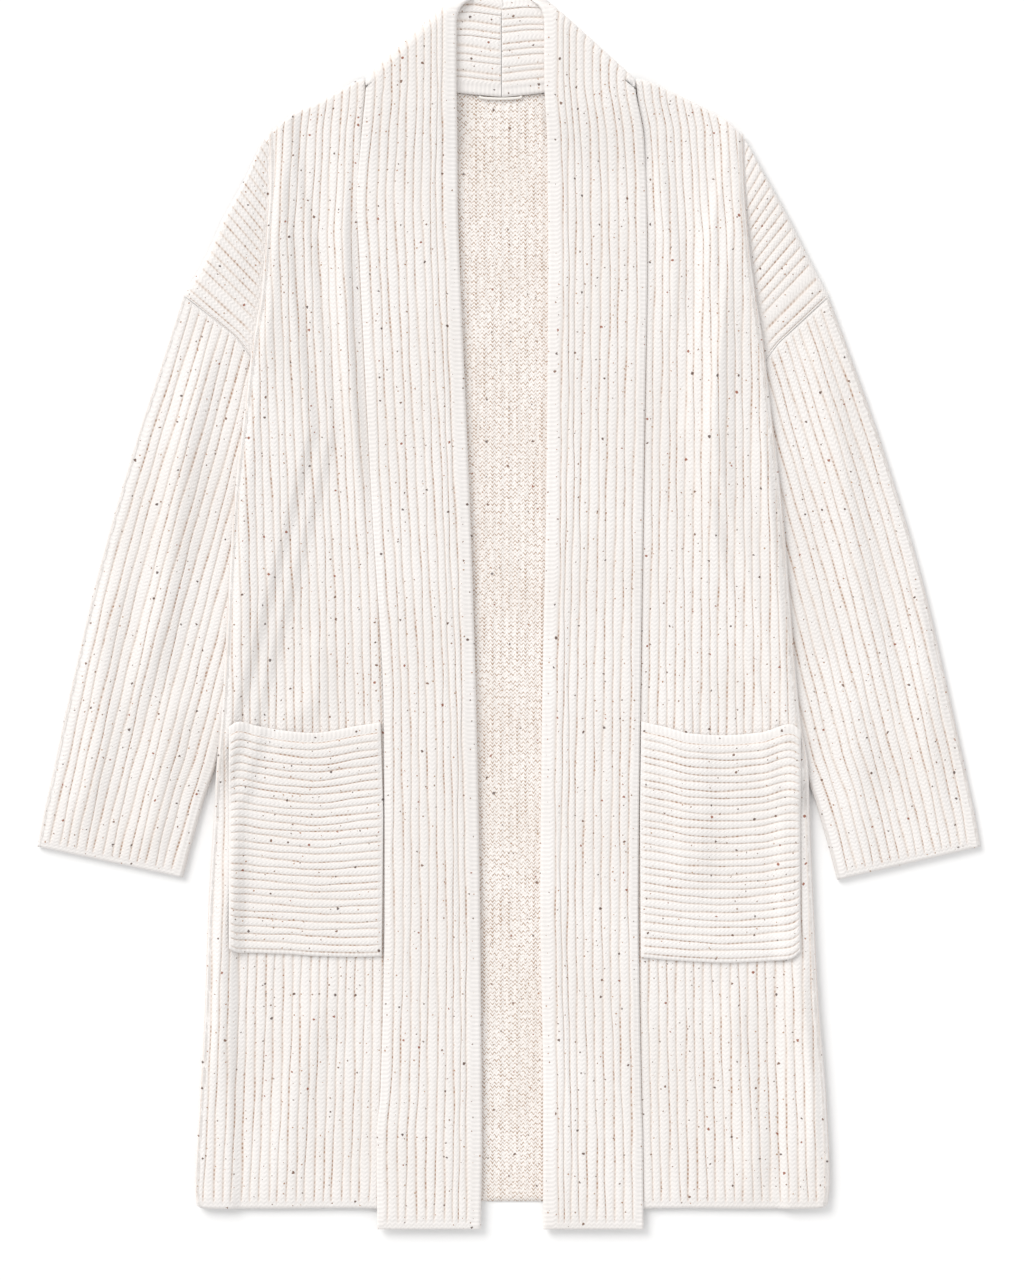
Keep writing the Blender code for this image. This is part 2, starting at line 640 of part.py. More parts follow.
def back():
    """Back panel, face down on the floor, with its inside up."""
    wall = Wall()
    edges = {side: back_edge(side) for side in ("right", "left")}
    seams = {side: sorted(neck_seam(side)) for side in ("right", "left")}
    top_end = {side: edges[side][-1] for side in edges}
    top_rows, low_rows = [], []
    for i, (right, left) in enumerate(zip(edges["right"], edges["left"])):
        scoop = smooth((left[1] - SCOOP_Y) / (top_end["left"][1] - SCOOP_Y))
        top, low = [], []
        for share in BACK_STEPS:
            x = -right[0] + (left[0] + right[0]) * share
            y = right[1] + (left[1] - right[1]) * share
            if 0.0 < share < 1.0:
                top_x = -top_end["right"][0] + (top_end["left"][0] + top_end["right"][0]) * share
                top_y = top_end["right"][1] + (top_end["left"][1] - top_end["right"][1]) * share
                on_left = top_x > CENTRE_BACK
                seam = straight(seams["left" if on_left else "right"], top_x if on_left else -top_x)
                y += scoop * (seam - NECK_SEAM_GAP - top_y)
            rim = share in (0.0, 1.0) or i == 0
            top.append((x, y, WALL * (BACK_RIM if rim else 1.0)))
            low.append((x, y, 0.0))
        top_rows.append(top)
        low_rows.append(low)
    wall.thinned(top_rows, low_rows, list(range(len(BACK_STEPS))))
    return dress(wall.object("back"), "inside")


def sleeve_section(width, ribbed, edge):
    """Outer and inner line round the flat tube, as pairs of a distance from its outer edge and a height."""
    columns = 2 * SLEEVE_RIBS
    flat = width - 2 * HALF_DOUBLE
    outer, inner = [], []
    for j in range(columns + 1):
        reach = HALF_DOUBLE + flat * j / columns
        thick = WALL + (rib(j) - WALL) * ribbed * (0 < j < columns)
        outer.append((reach, WALL + SLIT + thick * edge))
        inner.append((reach, WALL + SLIT))

    def corner(start, way, angle):
        across, up = turned(angle)
        full = SLIT / 2 + WALL * (edge if angle > 0 else 1.0)
        outer.append((start + way * HALF_DOUBLE * across, HALF_DOUBLE + full * up))
        inner.append((start + way * SLIT / 2 * across, HALF_DOUBLE + SLIT / 2 * up))

    for angle in FOLD_TURNS:
        corner(width - HALF_DOUBLE, 1, angle)
    for share in (1.0, 0.66, 0.33, 0.0):
        outer.append((HALF_DOUBLE + flat * share, 0.0))
        inner.append((HALF_DOUBLE + flat * share, WALL))
    for angle in FOLD_TURNS[::-1]:
        corner(HALF_DOUBLE, -1, angle)
    return outer, inner


def sleeve(side):
    """Flat sleeve tube from the cuff to the armhole, its two layers joined at rounded edges."""
    wall = Wall(side)
    table, hole = SLEEVE[side], ARMHOLE[side]
    sheets = ([], [])
    for i, share in enumerate(SLEEVE_STEPS):
        outer_end = (along(table, share, 2), along(table, share, 1))
        inner_end = (straight(table, share, 4), straight(table, share, 3))
        width = math.dist(outer_end, inner_end)
        ribbed = 1.0 if 2 <= i < len(SLEEVE_STEPS) - 1 else 0.0
        seam_blend = smooth((share - SEAM_BLEND) / (1 - SEAM_BLEND))
        for section, rows in zip(sleeve_section(width, ribbed, end_share(i)), sheets):
            row = []
            for reach, z in section:
                q = reach / width
                out = outer_end[0] + (inner_end[0] - outer_end[0]) * q
                y = outer_end[1] + (inner_end[1] - outer_end[1]) * q
                chord_out = hole[0][1] + (hole[-1][1] - hole[0][1]) * q
                chord_y = hole[0][2] + (hole[-1][2] - hole[0][2]) * q
                out += (straight(hole, q) - chord_out) * seam_blend
                y += (straight(hole, q, 2) - chord_y - SEAM_GAP) * seam_blend
                row.append((out, y, z))
            rows.append(row + row[:1])
    keys = range(len(sheets[0][0]))
    kept = [*range(0, 2 * SLEEVE_RIBS, 8), *range(2 * SLEEVE_RIBS, len(keys))]
    thin = [[row[k] for k in kept] for row in sheets[1]]
    wall.sheets(sheets[0], thin, (keys, keys), (kept, kept), closed=True)
    return dress(wall.object(side + "_sleeve"), "body")


def pocket(side):
    """Patch pocket with crosswise ribs, lying on the front's crests."""
    wall = Wall(side)
    table = POCKET[side]
    first, last = table[0][0], table[-1][0]
    width = last - first
    side_step = POCKET_SIDE / width
    shares = (0.0, side_step, *POCKET_STEPS, 1 - side_step, 1.0)
    columns = 2 * POCKET_RIBS
    low, high = len(POCKET_LOW) - 1, len(POCKET_LOW) - 1 + columns
    outer_rows, inner_rows = [], []
    for i, share in enumerate(shares):
        top, bottom = along(table, first + width * share, 1), along(table, first + width * share, 2)
        side_edge = {0: ROUNDING, len(shares) - 1: BLUNT_END}.get(i, 1.0)
        ribs_low, ribs_high = bottom + POCKET_LOW[-1], top - POCKET_HIGH[0]
        marks = [bottom + step for step in POCKET_LOW[:-1]]
        marks += [ribs_low + (ribs_high - ribs_low) * j / columns for j in range(columns + 1)]
        marks += [top - step for step in POCKET_HIGH[1:]]
        outer_row, inner_row = [], []
        for j, y in enumerate(marks):
            by_band = band_seam(side, y) + 2 * SEAM_GAP
            out = by_band + (last - by_band) * share
            spots = [(out + x, y + rise) for x in UNDER_POCKET[0] for rise in UNDER_POCKET[1]]
            near = [front_bottom(side, *spot) for spot in spots]
            under = max(near) + POCKET_LIFT
            thick = rib(j) if low <= j <= high and side_edge == 1 else WALL
            end = BLUNT_END if j in (0, len(marks) - 1) else 1.0
            outer_row.append((out, y, under + thick * side_edge * end))
            inner_row.append((out, y, under))
        outer_rows.append(outer_row)
        inner_rows.append(inner_row)
    kept = [0, low, *range(10, columns - 30, 8), *range(columns - 26, columns + 3, 4), len(outer_rows[0]) - 1]
    wall.thinned(outer_rows, inner_rows, kept)
    return dress(wall.object(side + "_pocket"), "body")


def hanger_loop():
    """Thin cord loop under the back neck seam, its ends at the seam."""
    curve = bpy.data.curves.new("hanger_loop", "CURVE")
    curve.dimensions = "3D"
    curve.bevel_depth = LOOP_RADIUS * MM
    curve.bevel_resolution = 2
    curve.use_fill_caps = True
    spline = curve.splines.new("POLY")
    spline.points.add(LOOP_STEPS)
    keyed = [(k / (len(LOOP) - 1), x, y) for k, (x, y) in enumerate(LOOP)]
    for k in range(LOOP_STEPS + 1):
        x, y = along(keyed, k / LOOP_STEPS, 1), along(keyed, k / LOOP_STEPS, 2)
        spline.points[k].co = (x * MM, y * MM, (WALL + SEAM_GAP + LOOP_RADIUS) * MM, 1.0)
    return dress(place("hanger_loop", curve), "body")


for item in list(bpy.data.objects):
    bpy.data.objects.remove(item, do_unlink=True)
collection = bpy.data.collections.new("oversized_cardigan")
bpy.context.scene.collection.children.link(collection)
cutters = bpy.data.collections.new("joined_shapes")
bpy.context.scene.collection.children.link(cutters)

back()
for wearer_side in ("right", "left"):
    front(wearer_side)
    sleeve(wearer_side)
    band(wearer_side)
    pocket(wearer_side)
hanger_loop()
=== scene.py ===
"""Looks of an oversized rib-knit cardigan that lies flat and face up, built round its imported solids.

Sizes are in millimetres and are turned into metres where points are made. "Out" is the distance from
the centre line towards a side, and each side's tables are those of its solids. Every piece is a thin
closed shell on its solid's form, with finer ribs, soft folds and a knitted surface.
"""
import math

import bmesh
import bpy
import numpy as np
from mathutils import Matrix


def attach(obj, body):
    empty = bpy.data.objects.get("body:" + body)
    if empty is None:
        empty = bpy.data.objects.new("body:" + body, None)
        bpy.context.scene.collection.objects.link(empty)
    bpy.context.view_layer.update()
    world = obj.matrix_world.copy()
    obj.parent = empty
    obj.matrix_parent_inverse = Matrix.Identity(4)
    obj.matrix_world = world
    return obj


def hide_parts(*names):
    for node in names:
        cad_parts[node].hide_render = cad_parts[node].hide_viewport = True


# Metres in a millimetre
MM = 0.001

# Camera straight above: centre of the view, distance, lens
VIEW_CENTRE = (0.0027, -0.0234)
VIEW_HEIGHT = 3.2
LENS = 100.0
# Strength of the even surround, and the sun: strength, width and tilts in degrees, colour
SURROUND = 0.78
SUN = 1.75
SUN_WIDTH = 34.0
SUN_TILTS = (-38.0, -40.0)
SUN_COLOUR = (1.0, 0.99, 0.975)

# Wall of the knit, and the layers that it makes when the garment lies flat
WALL = 3.0
GROOVE = 2.7
CREST = 3.9
SOLID_CREST = 3.8
RIB_ROUNDNESS = 0.45
SEAM_GAP = 0.4
CLOTH_GAP = 0.12
SLIT = 0.5
HALF_DOUBLE = WALL + SLIT / 2
FRONT_Z = WALL + SEAM_GAP
OVER_SLEEVE = WALL + SLIT + SOLID_CREST + 0.3 - FRONT_Z
OVER_TAIL = WALL + SLIT
FREE_EDGE = WALL * 0.45
TURN_ROOM = 1.5
# Rounded ends of a wall: their length, and the share of the thickness at the end itself
END_RUN = 4.0
BLUNT_END = 0.42

# Ribs and the fineness of the mesh
FRONT_RIBS = 25
BAND_RIBS = 11
SLEEVE_RIBS = 16
SHOULDER_RIBS = 19
POCKET_RIBS = 28
INSIDE_PITCH = 7.6
BACK_PITCH = 7.4
RIB_STEPS = (0.0, 0.09, 0.2, 0.35, 0.5, 0.65, 0.8, 0.91)
ROW_STEP = 4.0
WELD = 0.02
FOLD_TURNS = (72.0, 54.0, 36.0, 18.0, 0.0, -18.0, -36.0, -54.0, -72.0)
SLEEVE_TURNS = (60.0, 30.0, 0.0, -30.0, -60.0)
# Start of the sideways drift of each piece's ribs
SEEDS = {
    "right": {"front": 1.0, "band": 2.0, "sleeve": 3.0, "pocket": 7.0},
    "left": {"front": 4.0, "band": 5.0, "sleeve": 6.0, "pocket": 9.0},
}

# Band: its lower end, and widths of its ribs from the opening edge on, as shares
BAND_BOTTOM = -552.5
BAND_SHARES = (1.35, 0.7, 0.75, 0.9, 1.0, 1.1, 1.0, 1.1, 1.0, 1.1, 1.0)
BAND_LAP = 6.8
UNDER_LAP = 4.6
# Neck: fold of the band, its rise over its own lower part, the corner and the seam behind
FOLD_RADIUS = 3.9
CENTRE_BACK = -6.8
NECK_RISE_Y = 436.0
NECK_RISE_RUN = 24.0
SOFT_RISE_Y, SOFT_RISE_RUN = 390.0, 70.0
NECK_LIFT_RUN = 70.0
PAST_FOLD = 7.0
BEHIND_NECK = 600.0
NECK_SEAM_GAP = 2.4
NECK_TOP = 551.0
NECK_ROUND = 20.0
STRIP_STEPS = (0.5, 0.9, 1.0, 1.0)
STRIP_DROPS = (0.0, 0.1, 1.2, 3.0)
BACK_HEM = -528.3

# Marks up the body, and how far its side folds back under it
CROTCH_Y = -137.0
UNDERARM_Y = 165.0
UNDERARM_OUT = 183.0
APEX_Y = 426.0
TAIL_LAP = 15.0
TAIL_MIN = 5.0
# Stretch in which the body lies over its sleeves, with the runs in which its layers rise
GATE_LOW, GATE_LOW_RUN = -172.0, 33.0
GATE_HIGH, GATE_HIGH_RUN = 325.0, 90.0
TUCK_RAMP = 14.0
SIDE_RAMP = 18.0
RAMP_RUN = 12.0
# Front: its ends, and the runs in which its rows turn to hem and shoulder
FRONT_TOP = 426.0
FRONT_BOTTOM = -534.0
HEM_EASE = 80.0
SHOULDER_EASE_Y = 250.0
EDGE_INSET = 1.0

# Drop shoulder: height of its first and last rib under the side fold, and how its ribs reach the armhole
DROP_TOP_Y = 384.0
DROP_END_Y = 172.0
DROP_UNDER = 11.0
DROP_LIFT = 0.1
DROP_PUFF = 2.2
ALONG_SEAM = 0.2
SEAM_END = 0.97

# Sleeve length and how close to the armhole it bends to its seam
SLEEVE_LENGTH = 505.0
SEAM_BLEND = 0.75

# Edge of the front band, columns: y, opening edge out, seam edge out
BAND = {
    "right": (
        (-551.0, 25.2, 118.3), (-470.0, 24.0, 118.8), (-430.0, 24.3, 115.5), (-260.0, 26.0, 111.8),
        (-95.0, 29.0, 112.5), (100.0, 35.1, 123.3), (205.0, 39.5, 128.7), (320.0, 44.4, 134.3),
        (371.0, 46.0, 136.5), (426.0, 46.3, 132.6), (482.0, 47.0, 128.0), (545.0, 47.0, 128.0),
        (575.0, 43.5, 128.0), (700.0, 43.5, 128.0),
    ),
    "left": (
        (-551.0, 30.6, 120.8), (-470.0, 30.6, 120.0), (-430.0, 30.6, 118.8), (-260.0, 28.0, 116.3),
        (-95.0, 29.5, 117.8), (100.0, 33.3, 120.6), (205.0, 34.3, 122.3), (320.0, 35.1, 124.2),
        (371.0, 34.8, 123.5), (426.0, 34.2, 121.0), (482.0, 31.5, 112.5), (545.0, 31.5, 112.5),
        (575.0, 28.0, 112.5), (700.0, 28.0, 112.5),
    ),
}
# Diagonal along which each band folds behind the neck: point on it, angle, and lift of the part behind
NECK_FOLD = {
    "right": {"out": 45.7, "y": 548.6, "angle": 42.6, "lift": -4.0},
    "left": {"out": 26.8, "y": 548.6, "angle": 42.0, "lift": -0.5},
}
# Edge of the body, columns: y, out
SIDE = {
    "right": (
        (-534.0, 276.0), (-530.0, 281.0), (-509.0, 282.4), (-440.0, 278.3), (-346.0, 273.2), (-263.0, 270.0),
        (-205.0, 266.4), (-137.0, 262.4), (-95.0, 258.3), (103.0, 246.6), (196.0, 235.8), (236.0, 231.0),
        (288.0, 222.3), (325.0, 218.9), (389.0, 215.3), (427.0, 216.0),
    ),
    "left": (
        (-534.0, 280.0), (-530.0, 286.0), (-509.0, 288.0), (-440.0, 285.2), (-346.0, 278.0), (-263.0, 273.5),
        (-205.0, 271.0), (-137.0, 268.4), (-95.0, 261.5), (103.0, 244.5), (196.0, 233.5), (236.0, 229.0),
        (288.0, 221.0), (325.0, 215.8), (389.0, 211.2), (427.0, 210.5),
    ),
}
# Shoulder from the band down over the drop shoulder to the armhole, columns: out, y
SHOULDER = {
    "right": (
        (121.0, 464.0), (128.1, 467.5), (129.5, 481.4), (152.1, 471.6), (168.3, 462.6), (188.1, 453.6),
        (201.6, 444.6), (211.5, 435.6), (219.6, 426.6), (237.6, 390.6), (257.4, 354.6), (273.6, 318.6),
        (292.5, 286.0),
    ),
    "left": (
        (106.0, 462.0), (112.6, 466.0), (114.0, 481.6), (143.1, 471.6), (162.0, 462.6), (179.1, 453.6),
        (194.4, 444.6), (204.3, 435.6), (211.5, 426.6), (232.2, 390.6), (252.0, 354.6), (270.0, 318.6),
        (287.5, 285.0),
    ),
}
SHOULDER_APEX = 8
# Inner line of the cloth tucked under the body's side, columns: y, out
TUCK = ((CROTCH_Y, 263.0), (UNDERARM_Y, UNDERARM_OUT), (300.0, 200.0), (APEX_Y, 209.0))
# Armhole seam from the outer edge to the underarm, columns: fraction, out, y
ARMHOLE = {
    "right": ((0.0, 292.5, 286.0), (0.42, 246.6, 251.0), (1.0, 183.0, 165.0)),
    "left": ((0.0, 287.5, 285.0), (0.42, 243.0, 244.0), (1.0, 183.0, 165.0)),
}
# Sleeve, columns: fraction from cuff to armhole, y outer edge, out, y inner edge, out
SLEEVE = {
    "right": (
        (0.0, -209.0, 423.9, -237.0, 293.0), (0.06, -184.0, 419.2, -212.0, 286.6),
        (0.16, -135.0, 408.7, -167.0, 274.0), (0.25, -90.0, 399.0, -137.0, 263.0),
        (0.5, 31.0, 370.8, -20.0, 231.8), (0.75, 150.0, 337.0, 85.0, 204.0),
        (0.9, 235.0, 309.0, 140.0, 189.5), (1.0, 286.0, 292.5, 165.0, 183.0),
    ),
    "left": (
        (0.0, -209.0, 424.2, -239.0, 295.0), (0.06, -184.0, 419.7, -212.0, 288.0),
        (0.16, -135.0, 409.4, -167.0, 275.0), (0.25, -90.0, 399.6, -137.0, 263.0),
        (0.5, 31.0, 371.7, -20.0, 231.8), (0.75, 150.0, 336.0, 85.0, 204.0),
        (0.9, 235.0, 306.0, 140.0, 189.5), (1.0, 285.0, 287.5, 165.0, 183.0),
    ),
}
# Patch pocket, columns: out, y of its top edge, y of its bottom edge
POCKET = {
    "right": (
        (112.9, -97.2, -307.5), (135.0, -100.5, -308.0), (174.6, -106.7, -307.0), (195.3, -105.3, -305.5),
        (225.0, -100.5, -304.5), (242.1, -96.3, -304.0), (251.0, -101.0, -300.0),
    ),
    "left": (
        (117.6, -96.3, -308.5), (140.0, -101.5, -310.5), (162.0, -107.1, -312.0), (191.7, -108.9, -313.2),
        (225.9, -106.2, -312.0), (252.0, -98.5, -309.5), (261.5, -104.0, -303.0),
    ),
}
# Rib pitch on the fronts, columns: y, pitch
FRONT_PITCH = ((-534.0, 8.2), (-250.0, 8.0), (-100.0, 7.8), (250.0, 7.2), (480.0, 6.9))
# Hem of each front, columns: out, y
FRONT_HEM = ((110.0, -534.6), (150.0, -533.9), (220.0, -534.4), (275.0, -533.7), (290.0, -532.0))
# Seam between band and front, as heights of its straight runs
BAND_ROWS = (
    BAND_BOTTOM, -550.0, -545.0, -400.0, -180.0, 20.0, 205.0, 340.0,
    NECK_RISE_Y, NECK_RISE_Y + NECK_RISE_RUN / 2, NECK_RISE_Y + NECK_RISE_RUN,
)
# Hanger loop, columns: x, y
LOOP = (
    (-26.8, 465.4), (-25.6, 464.2), (-20.0, 463.4), (-8.0, 463.0), (4.0, 463.4), (10.2, 464.2), (11.4, 465.4),
)
LOOP_RADIUS = 1.2
LOOP_STEPS = 42

# Heights of all soft ridges are taken this many times
RIDGE_SCALE = 1.9
# Soft ridges of the fronts: start and end as (out, y), height, half width
FRONT_RIDGES = {
    "right": (
        ((150.0, 400.0), (122.0, 40.0), 3.4, 17.0), ((232.0, 205.0), (246.0, -60.0), 1.4, 13.0),
        ((206.0, 420.0), (222.0, 220.0), 2.0, 12.0), ((180.0, -330.0), (196.0, -520.0), 1.6, 20.0),
        ((250.0, -180.0), (262.0, -420.0), 1.8, 12.0), ((165.0, -20.0), (190.0, -100.0), 1.4, 16.0),
    ),
    "left": (
        ((176.0, 380.0), (190.0, 20.0), 3.0, 16.0), ((236.0, 190.0), (252.0, -80.0), 2.2, 12.0),
        ((136.0, 430.0), (146.0, 260.0), 1.8, 12.0), ((205.0, -340.0), (214.0, -525.0), 2.0, 18.0),
        ((150.0, -60.0), (170.0, -240.0), 1.4, 16.0), ((262.0, -300.0), (272.0, -500.0), 1.6, 10.0),
    ),
}
# Soft ridges of the sleeves: start and end as (fraction along, fraction across), height, half width
SLEEVE_RIDGES = {
    "right": (
        ((0.97, 0.3), (0.30, 0.42), 3.2, 0.13), ((0.55, 0.16), (0.05, 0.22), 2.0, 0.12),
        ((0.35, 0.72), (0.02, 0.66), 1.8, 0.14),
    ),
    "left": (
        ((0.97, 0.26), (0.34, 0.38), 2.8, 0.13), ((0.5, 0.12), (0.06, 0.2), 1.8, 0.11),
        ((0.4, 0.66), (0.03, 0.72), 2.0, 0.15),
    ),
}

# Yarn: right side, painted shade in the hollows beside its grooves, painted shade in the grooves, inside with
# painted shade in its gaps and dotted columns, cord
CREAM = (0.905, 0.872, 0.852)
HOLLOW_SHADE = (0.84, 0.755, 0.69)
GROOVE_SHADE_TONES = ((0.56, 0.44, 0.36), (0.42, 0.25, 0.16))
INSIDE = (0.965, 0.925, 0.895)
PURL_GAP_SHADE = (0.50, 0.36, 0.27)
PURL_DOT_SHADE = (0.40, 0.26, 0.17)
CORD_TONES = ((0.86, 0.82, 0.77), (0.93, 0.90, 0.86))
FLOOR_TONES = ((0.955,) * 3, (0.965,) * 3)
# Height of a row of stitches, in millimetres, on the right side and on the inside
STITCH = 3.9
PURL_COURSE = 3.4
# Nepps in the yarn, columns: cell size in metres, share of cells, radius in metres, colours
NEPPS = (
    (
        0.0200, 0.42, 0.00115,
        ((0.12, 0.06, 0.04), (0.32, 0.10, 0.05), (0.20, 0.10, 0.06), (0.12, 0.08, 0.07)),
    ),
    (
        0.0085, 0.42, 0.00070,
        ((0.40, 0.21, 0.12), (0.28, 0.16, 0.10), (0.24, 0.18, 0.15), (0.46, 0.29, 0.18)),
    ),
)


def smooth(value):
    """Smooth step from 0 to 1 over the unit interval."""
    value = np.clip(value, 0.0, 1.0)
    return value * value * (3 - 2 * value)


def triples(*parts):
    """Three coordinates, each spread over all rows and columns."""
    return np.stack(np.broadcast_arrays(*parts), -1)


def beside(*parts):
    """Columns side by side, with single rows spread over all rows."""
    parts = [np.atleast_2d(part) for part in parts]
    rows = max(len(part) for part in parts)
    return np.concatenate([np.broadcast_to(part, (rows, part.shape[1])) for part in parts], axis=1)


def along(table, position, column=1):
    """Values of a table's column at positions in its first column, on a shape-keeping cubic."""
    keys = np.array([row[0] for row in table])
    values = np.array([row[column] for row in table])
    spans = np.diff(keys)
    slopes = np.diff(values) / spans
    before, after = slopes[:-1], slopes[1:]
    total = before + after
    inner = np.where(before * after > 0, 2 * before * after / np.where(total == 0, 1.0, total), 0.0)
    tangents = np.concatenate(([slopes[0]], inner, [slopes[-1]]))
    position = np.clip(position, keys[0], keys[-1])
    i = np.clip(np.searchsorted(keys, position, side="right") - 1, 0, len(spans) - 1)
    t = (position - keys[i]) / spans[i]
    return (
        values[i] * (1 + 2 * t) * (1 - t) ** 2
        + values[i + 1] * t * t * (3 - 2 * t)
        + spans[i] * (tangents[i] * t * (1 - t) ** 2 - tangents[i + 1] * t * t * (1 - t))
    )


def straight(table, position, column=1):
    """Values of a table's column at positions, on straight runs."""
    return np.interp(position, [row[0] for row in table], [row[column] for row in table])


def band_seam(side, y):
    """Seam between band and front, on straight runs between the band's rows."""
    rows = np.array(BAND_ROWS + (APEX_Y + 60.0,))
    return np.interp(y, rows, along(BAND[side], rows, 2))


def tuck_inner(side, y):
    """Inner line of the cloth that is tucked under the body's side."""
    return np.minimum(straight(TUCK, y), along(SIDE[side], y))


def sleeve_gate(y):
    """1 where the body lies over the sleeve or its own fold, 0 below the crotch and at the shoulder."""
    return smooth((y - GATE_LOW) / GATE_LOW_RUN) * (1 - smooth((y - GATE_HIGH) / GATE_HIGH_RUN))


def tail_bottom(side, out, y):
    """Underside of the layer that the body's side folds back under itself."""
    inside = tuck_inner(side, y) - out
    return FRONT_Z + OVER_SLEEVE * sleeve_gate(y) * smooth((TUCK_RAMP - inside) / RAMP_RUN)


def tail_length(side, y):
    """How far the side folds back under the front: down to the tucked line, and past it."""
    gate = sleeve_gate(y)
    lap = TAIL_LAP * gate + TAIL_MIN * (1 - gate)
    return np.maximum(along(SIDE[side], y) - tuck_inner(side, y), 0.0), lap


def neck_rise(y):
    """Height that the band gains where it lies over its own part behind the neck."""
    return (2 * FOLD_RADIUS - FRONT_Z) * smooth((y - SOFT_RISE_Y) / SOFT_RISE_RUN)


def ridge(a, b, start, end, height, half_width):
    """Soft ridge between two points of a surface's own coordinates, fading out at its ends."""
    run = (end[0] - start[0], end[1] - start[1])
    length = math.hypot(*run)
    t = ((a - start[0]) * run[0] + (b - start[1]) * run[1]) / length ** 2
    off = ((a - start[0]) * run[1] - (b - start[1]) * run[0]) / length
    bend = 0.35 * half_width * np.sin(5.3 * t + start[0])
    shape = np.exp(-(((off + bend) / half_width) ** 2) * 1.6)
    return RIDGE_SCALE * height * shape * smooth((t + 0.12) / 0.35) * (1 - smooth((t - 0.77) / 0.35))


def front_folds(side, out, y):
    """Height that the soft ridges add to a front, nothing at its seam and side fold."""
    total = sum(ridge(out, y, *row) for row in FRONT_RIDGES[side])
    to_band = smooth((out - band_seam(side, y) - 1.0) / 14.0)
    to_side = smooth((along(SIDE[side], y) - HALF_DOUBLE - out) / 10.0)
    to_hem = smooth((y - FRONT_BOTTOM + 6.0) / 30.0)
    return total * to_band * to_side * (0.35 + 0.65 * to_hem)


def front_bottom(side, out, y):
    """Underside of a front panel."""
    reach, lap = tail_length(side, y)
    from_edge = along(SIDE[side], y) - out
    raised = OVER_TAIL * smooth((reach + lap + SIDE_RAMP - from_edge) / RAMP_RUN)
    by_neck = 0.7 * neck_rise(y - 6.0) * smooth((34.0 - out + band_seam(side, y)) / 28.0)
    return tail_bottom(side, out, y) + raised + by_neck + front_folds(side, out, y)


def rib(u):
    """Wall thickness across ribs: grooves at whole numbers, and round crests between them."""
    return GROOVE + (CREST - GROOVE) * np.abs(np.sin(math.pi * u)) ** RIB_ROUNDNESS


def rib_columns(count):
    """Rib coordinates of the mesh columns over a number of ribs."""
    steps = [k + step for k in range(count) for step in RIB_STEPS]
    return np.array(steps + [float(count)])


def wander(u, v, seed):
    """Sideways drift of the ribs in millimetres, as hand-laid knit has."""
    return (
        0.55 * np.sin(v / 46.0 + 2.3 * u + seed)
        + 0.35 * np.sin(v / 19.0 + 4.1 * u + 1.7 * seed)
        + 0.2 * np.sin(v / 9.0 + 1.3 * u + 2.9 * seed)
    )


class Shell:
    """A closed shell between an outer and an inner sheet of points, with knit coordinates."""

    def __init__(self, side="left"):
        self.across = -1.0 if side == "right" else 1.0
        self.points = []
        self.knit = []
        self.faces = []
        self.kinds = []
        self.count = 0

    def sheet(self, points, knit):
        """Add points, as rows of columns in millimetres, and give back their numbers."""
        points = np.asarray(points, float)
        numbers = np.arange(self.count, self.count + points.shape[0] * points.shape[1])
        self.points.append(points.reshape(-1, 3) * (self.across * MM, MM, MM))
        self.knit.append(np.asarray(knit, float).reshape(-1, 3))
        self.count += len(numbers)
        return numbers.reshape(points.shape[:2])

    def quads(self, numbers, kind, flip=False):
        """Add the faces between neighbouring points of a sheet."""
        quads = np.stack((numbers[:-1, :-1], numbers[:-1, 1:], numbers[1:, 1:], numbers[1:, :-1]), axis=-1)
        quads = quads.reshape(-1, 4)
        if flip:
            quads = quads[:, ::-1]
        self.faces.extend(quads.tolist())
        self.kinds.extend([kind] * len(quads))

    def edge(self, outer, inner, kind):
        """Close the strip between two columns of the sheets."""
        self.quads(np.stack((outer, inner), axis=1), kind)

    def rim(self, outer, inner, outer_keys, inner_keys, kind):
        """Close the strip between two end rows, step by step along their keys."""
        j = k = 0
        while j < len(outer) - 1 or k < len(inner) - 1:
            outer_next = outer_keys[j + 1] if j < len(outer) - 1 else math.inf
            inner_next = inner_keys[k + 1] if k < len(inner) - 1 else math.inf
            if outer_next <= inner_next:
                self.faces.append([int(outer[j]), int(outer[j + 1]), int(inner[k])])
                j += 1
            else:
                self.faces.append([int(outer[j]), int(inner[k + 1]), int(inner[k])])
                k += 1
            self.kinds.append(kind)

    def wall(self, outer, outer_knit, inner, inner_knit, outer_keys, inner_keys, kinds=(0, 0)):
        """Both sheets, their side edges and their end rims."""
        top = self.sheet(outer, outer_knit)
        low = self.sheet(inner, inner_knit)
        self.quads(top, kinds[0])
        self.quads(low, kinds[1], flip=True)
        self.edge(top[:, 0], low[:, 0], kinds[0])
        self.edge(top[:, -1], low[:, -1], kinds[0])
        for i in (0, -1):
            self.rim(top[i], low[i], outer_keys[i], inner_keys[i], kinds[0])

    def lined(self, outer, inner, knit, kept, kinds=(0, 0)):
        """Wall whose inner sheet keeps only some of the outer one's columns."""
        keys = [np.arange(outer.shape[1])] * 2
        self.wall(outer, knit, inner[:, kept], knit[:, kept], keys, [kept] * 2, kinds)

    def object(self, name, materials):
        """Make the piece: welded, facing out and shaded smooth."""
        data = bpy.data.meshes.new(name)
        points = np.concatenate(self.points)
        knit = np.concatenate(self.knit)
        data.from_pydata(points.tolist(), [], self.faces)
        for material in materials:
            data.materials.append(material)
        data.polygons.foreach_set("material_index", self.kinds)
        stored = data.attributes.new("knit", "FLOAT_VECTOR", "POINT")
        stored.data.foreach_set("vector", knit.astype(np.float32).ravel())
        data.polygons.foreach_set("use_smooth", [True] * len(data.polygons))
        weld(data)
        data.update()
        piece = bpy.data.objects.new(name, data)
        bpy.context.scene.collection.objects.link(piece)
        return piece


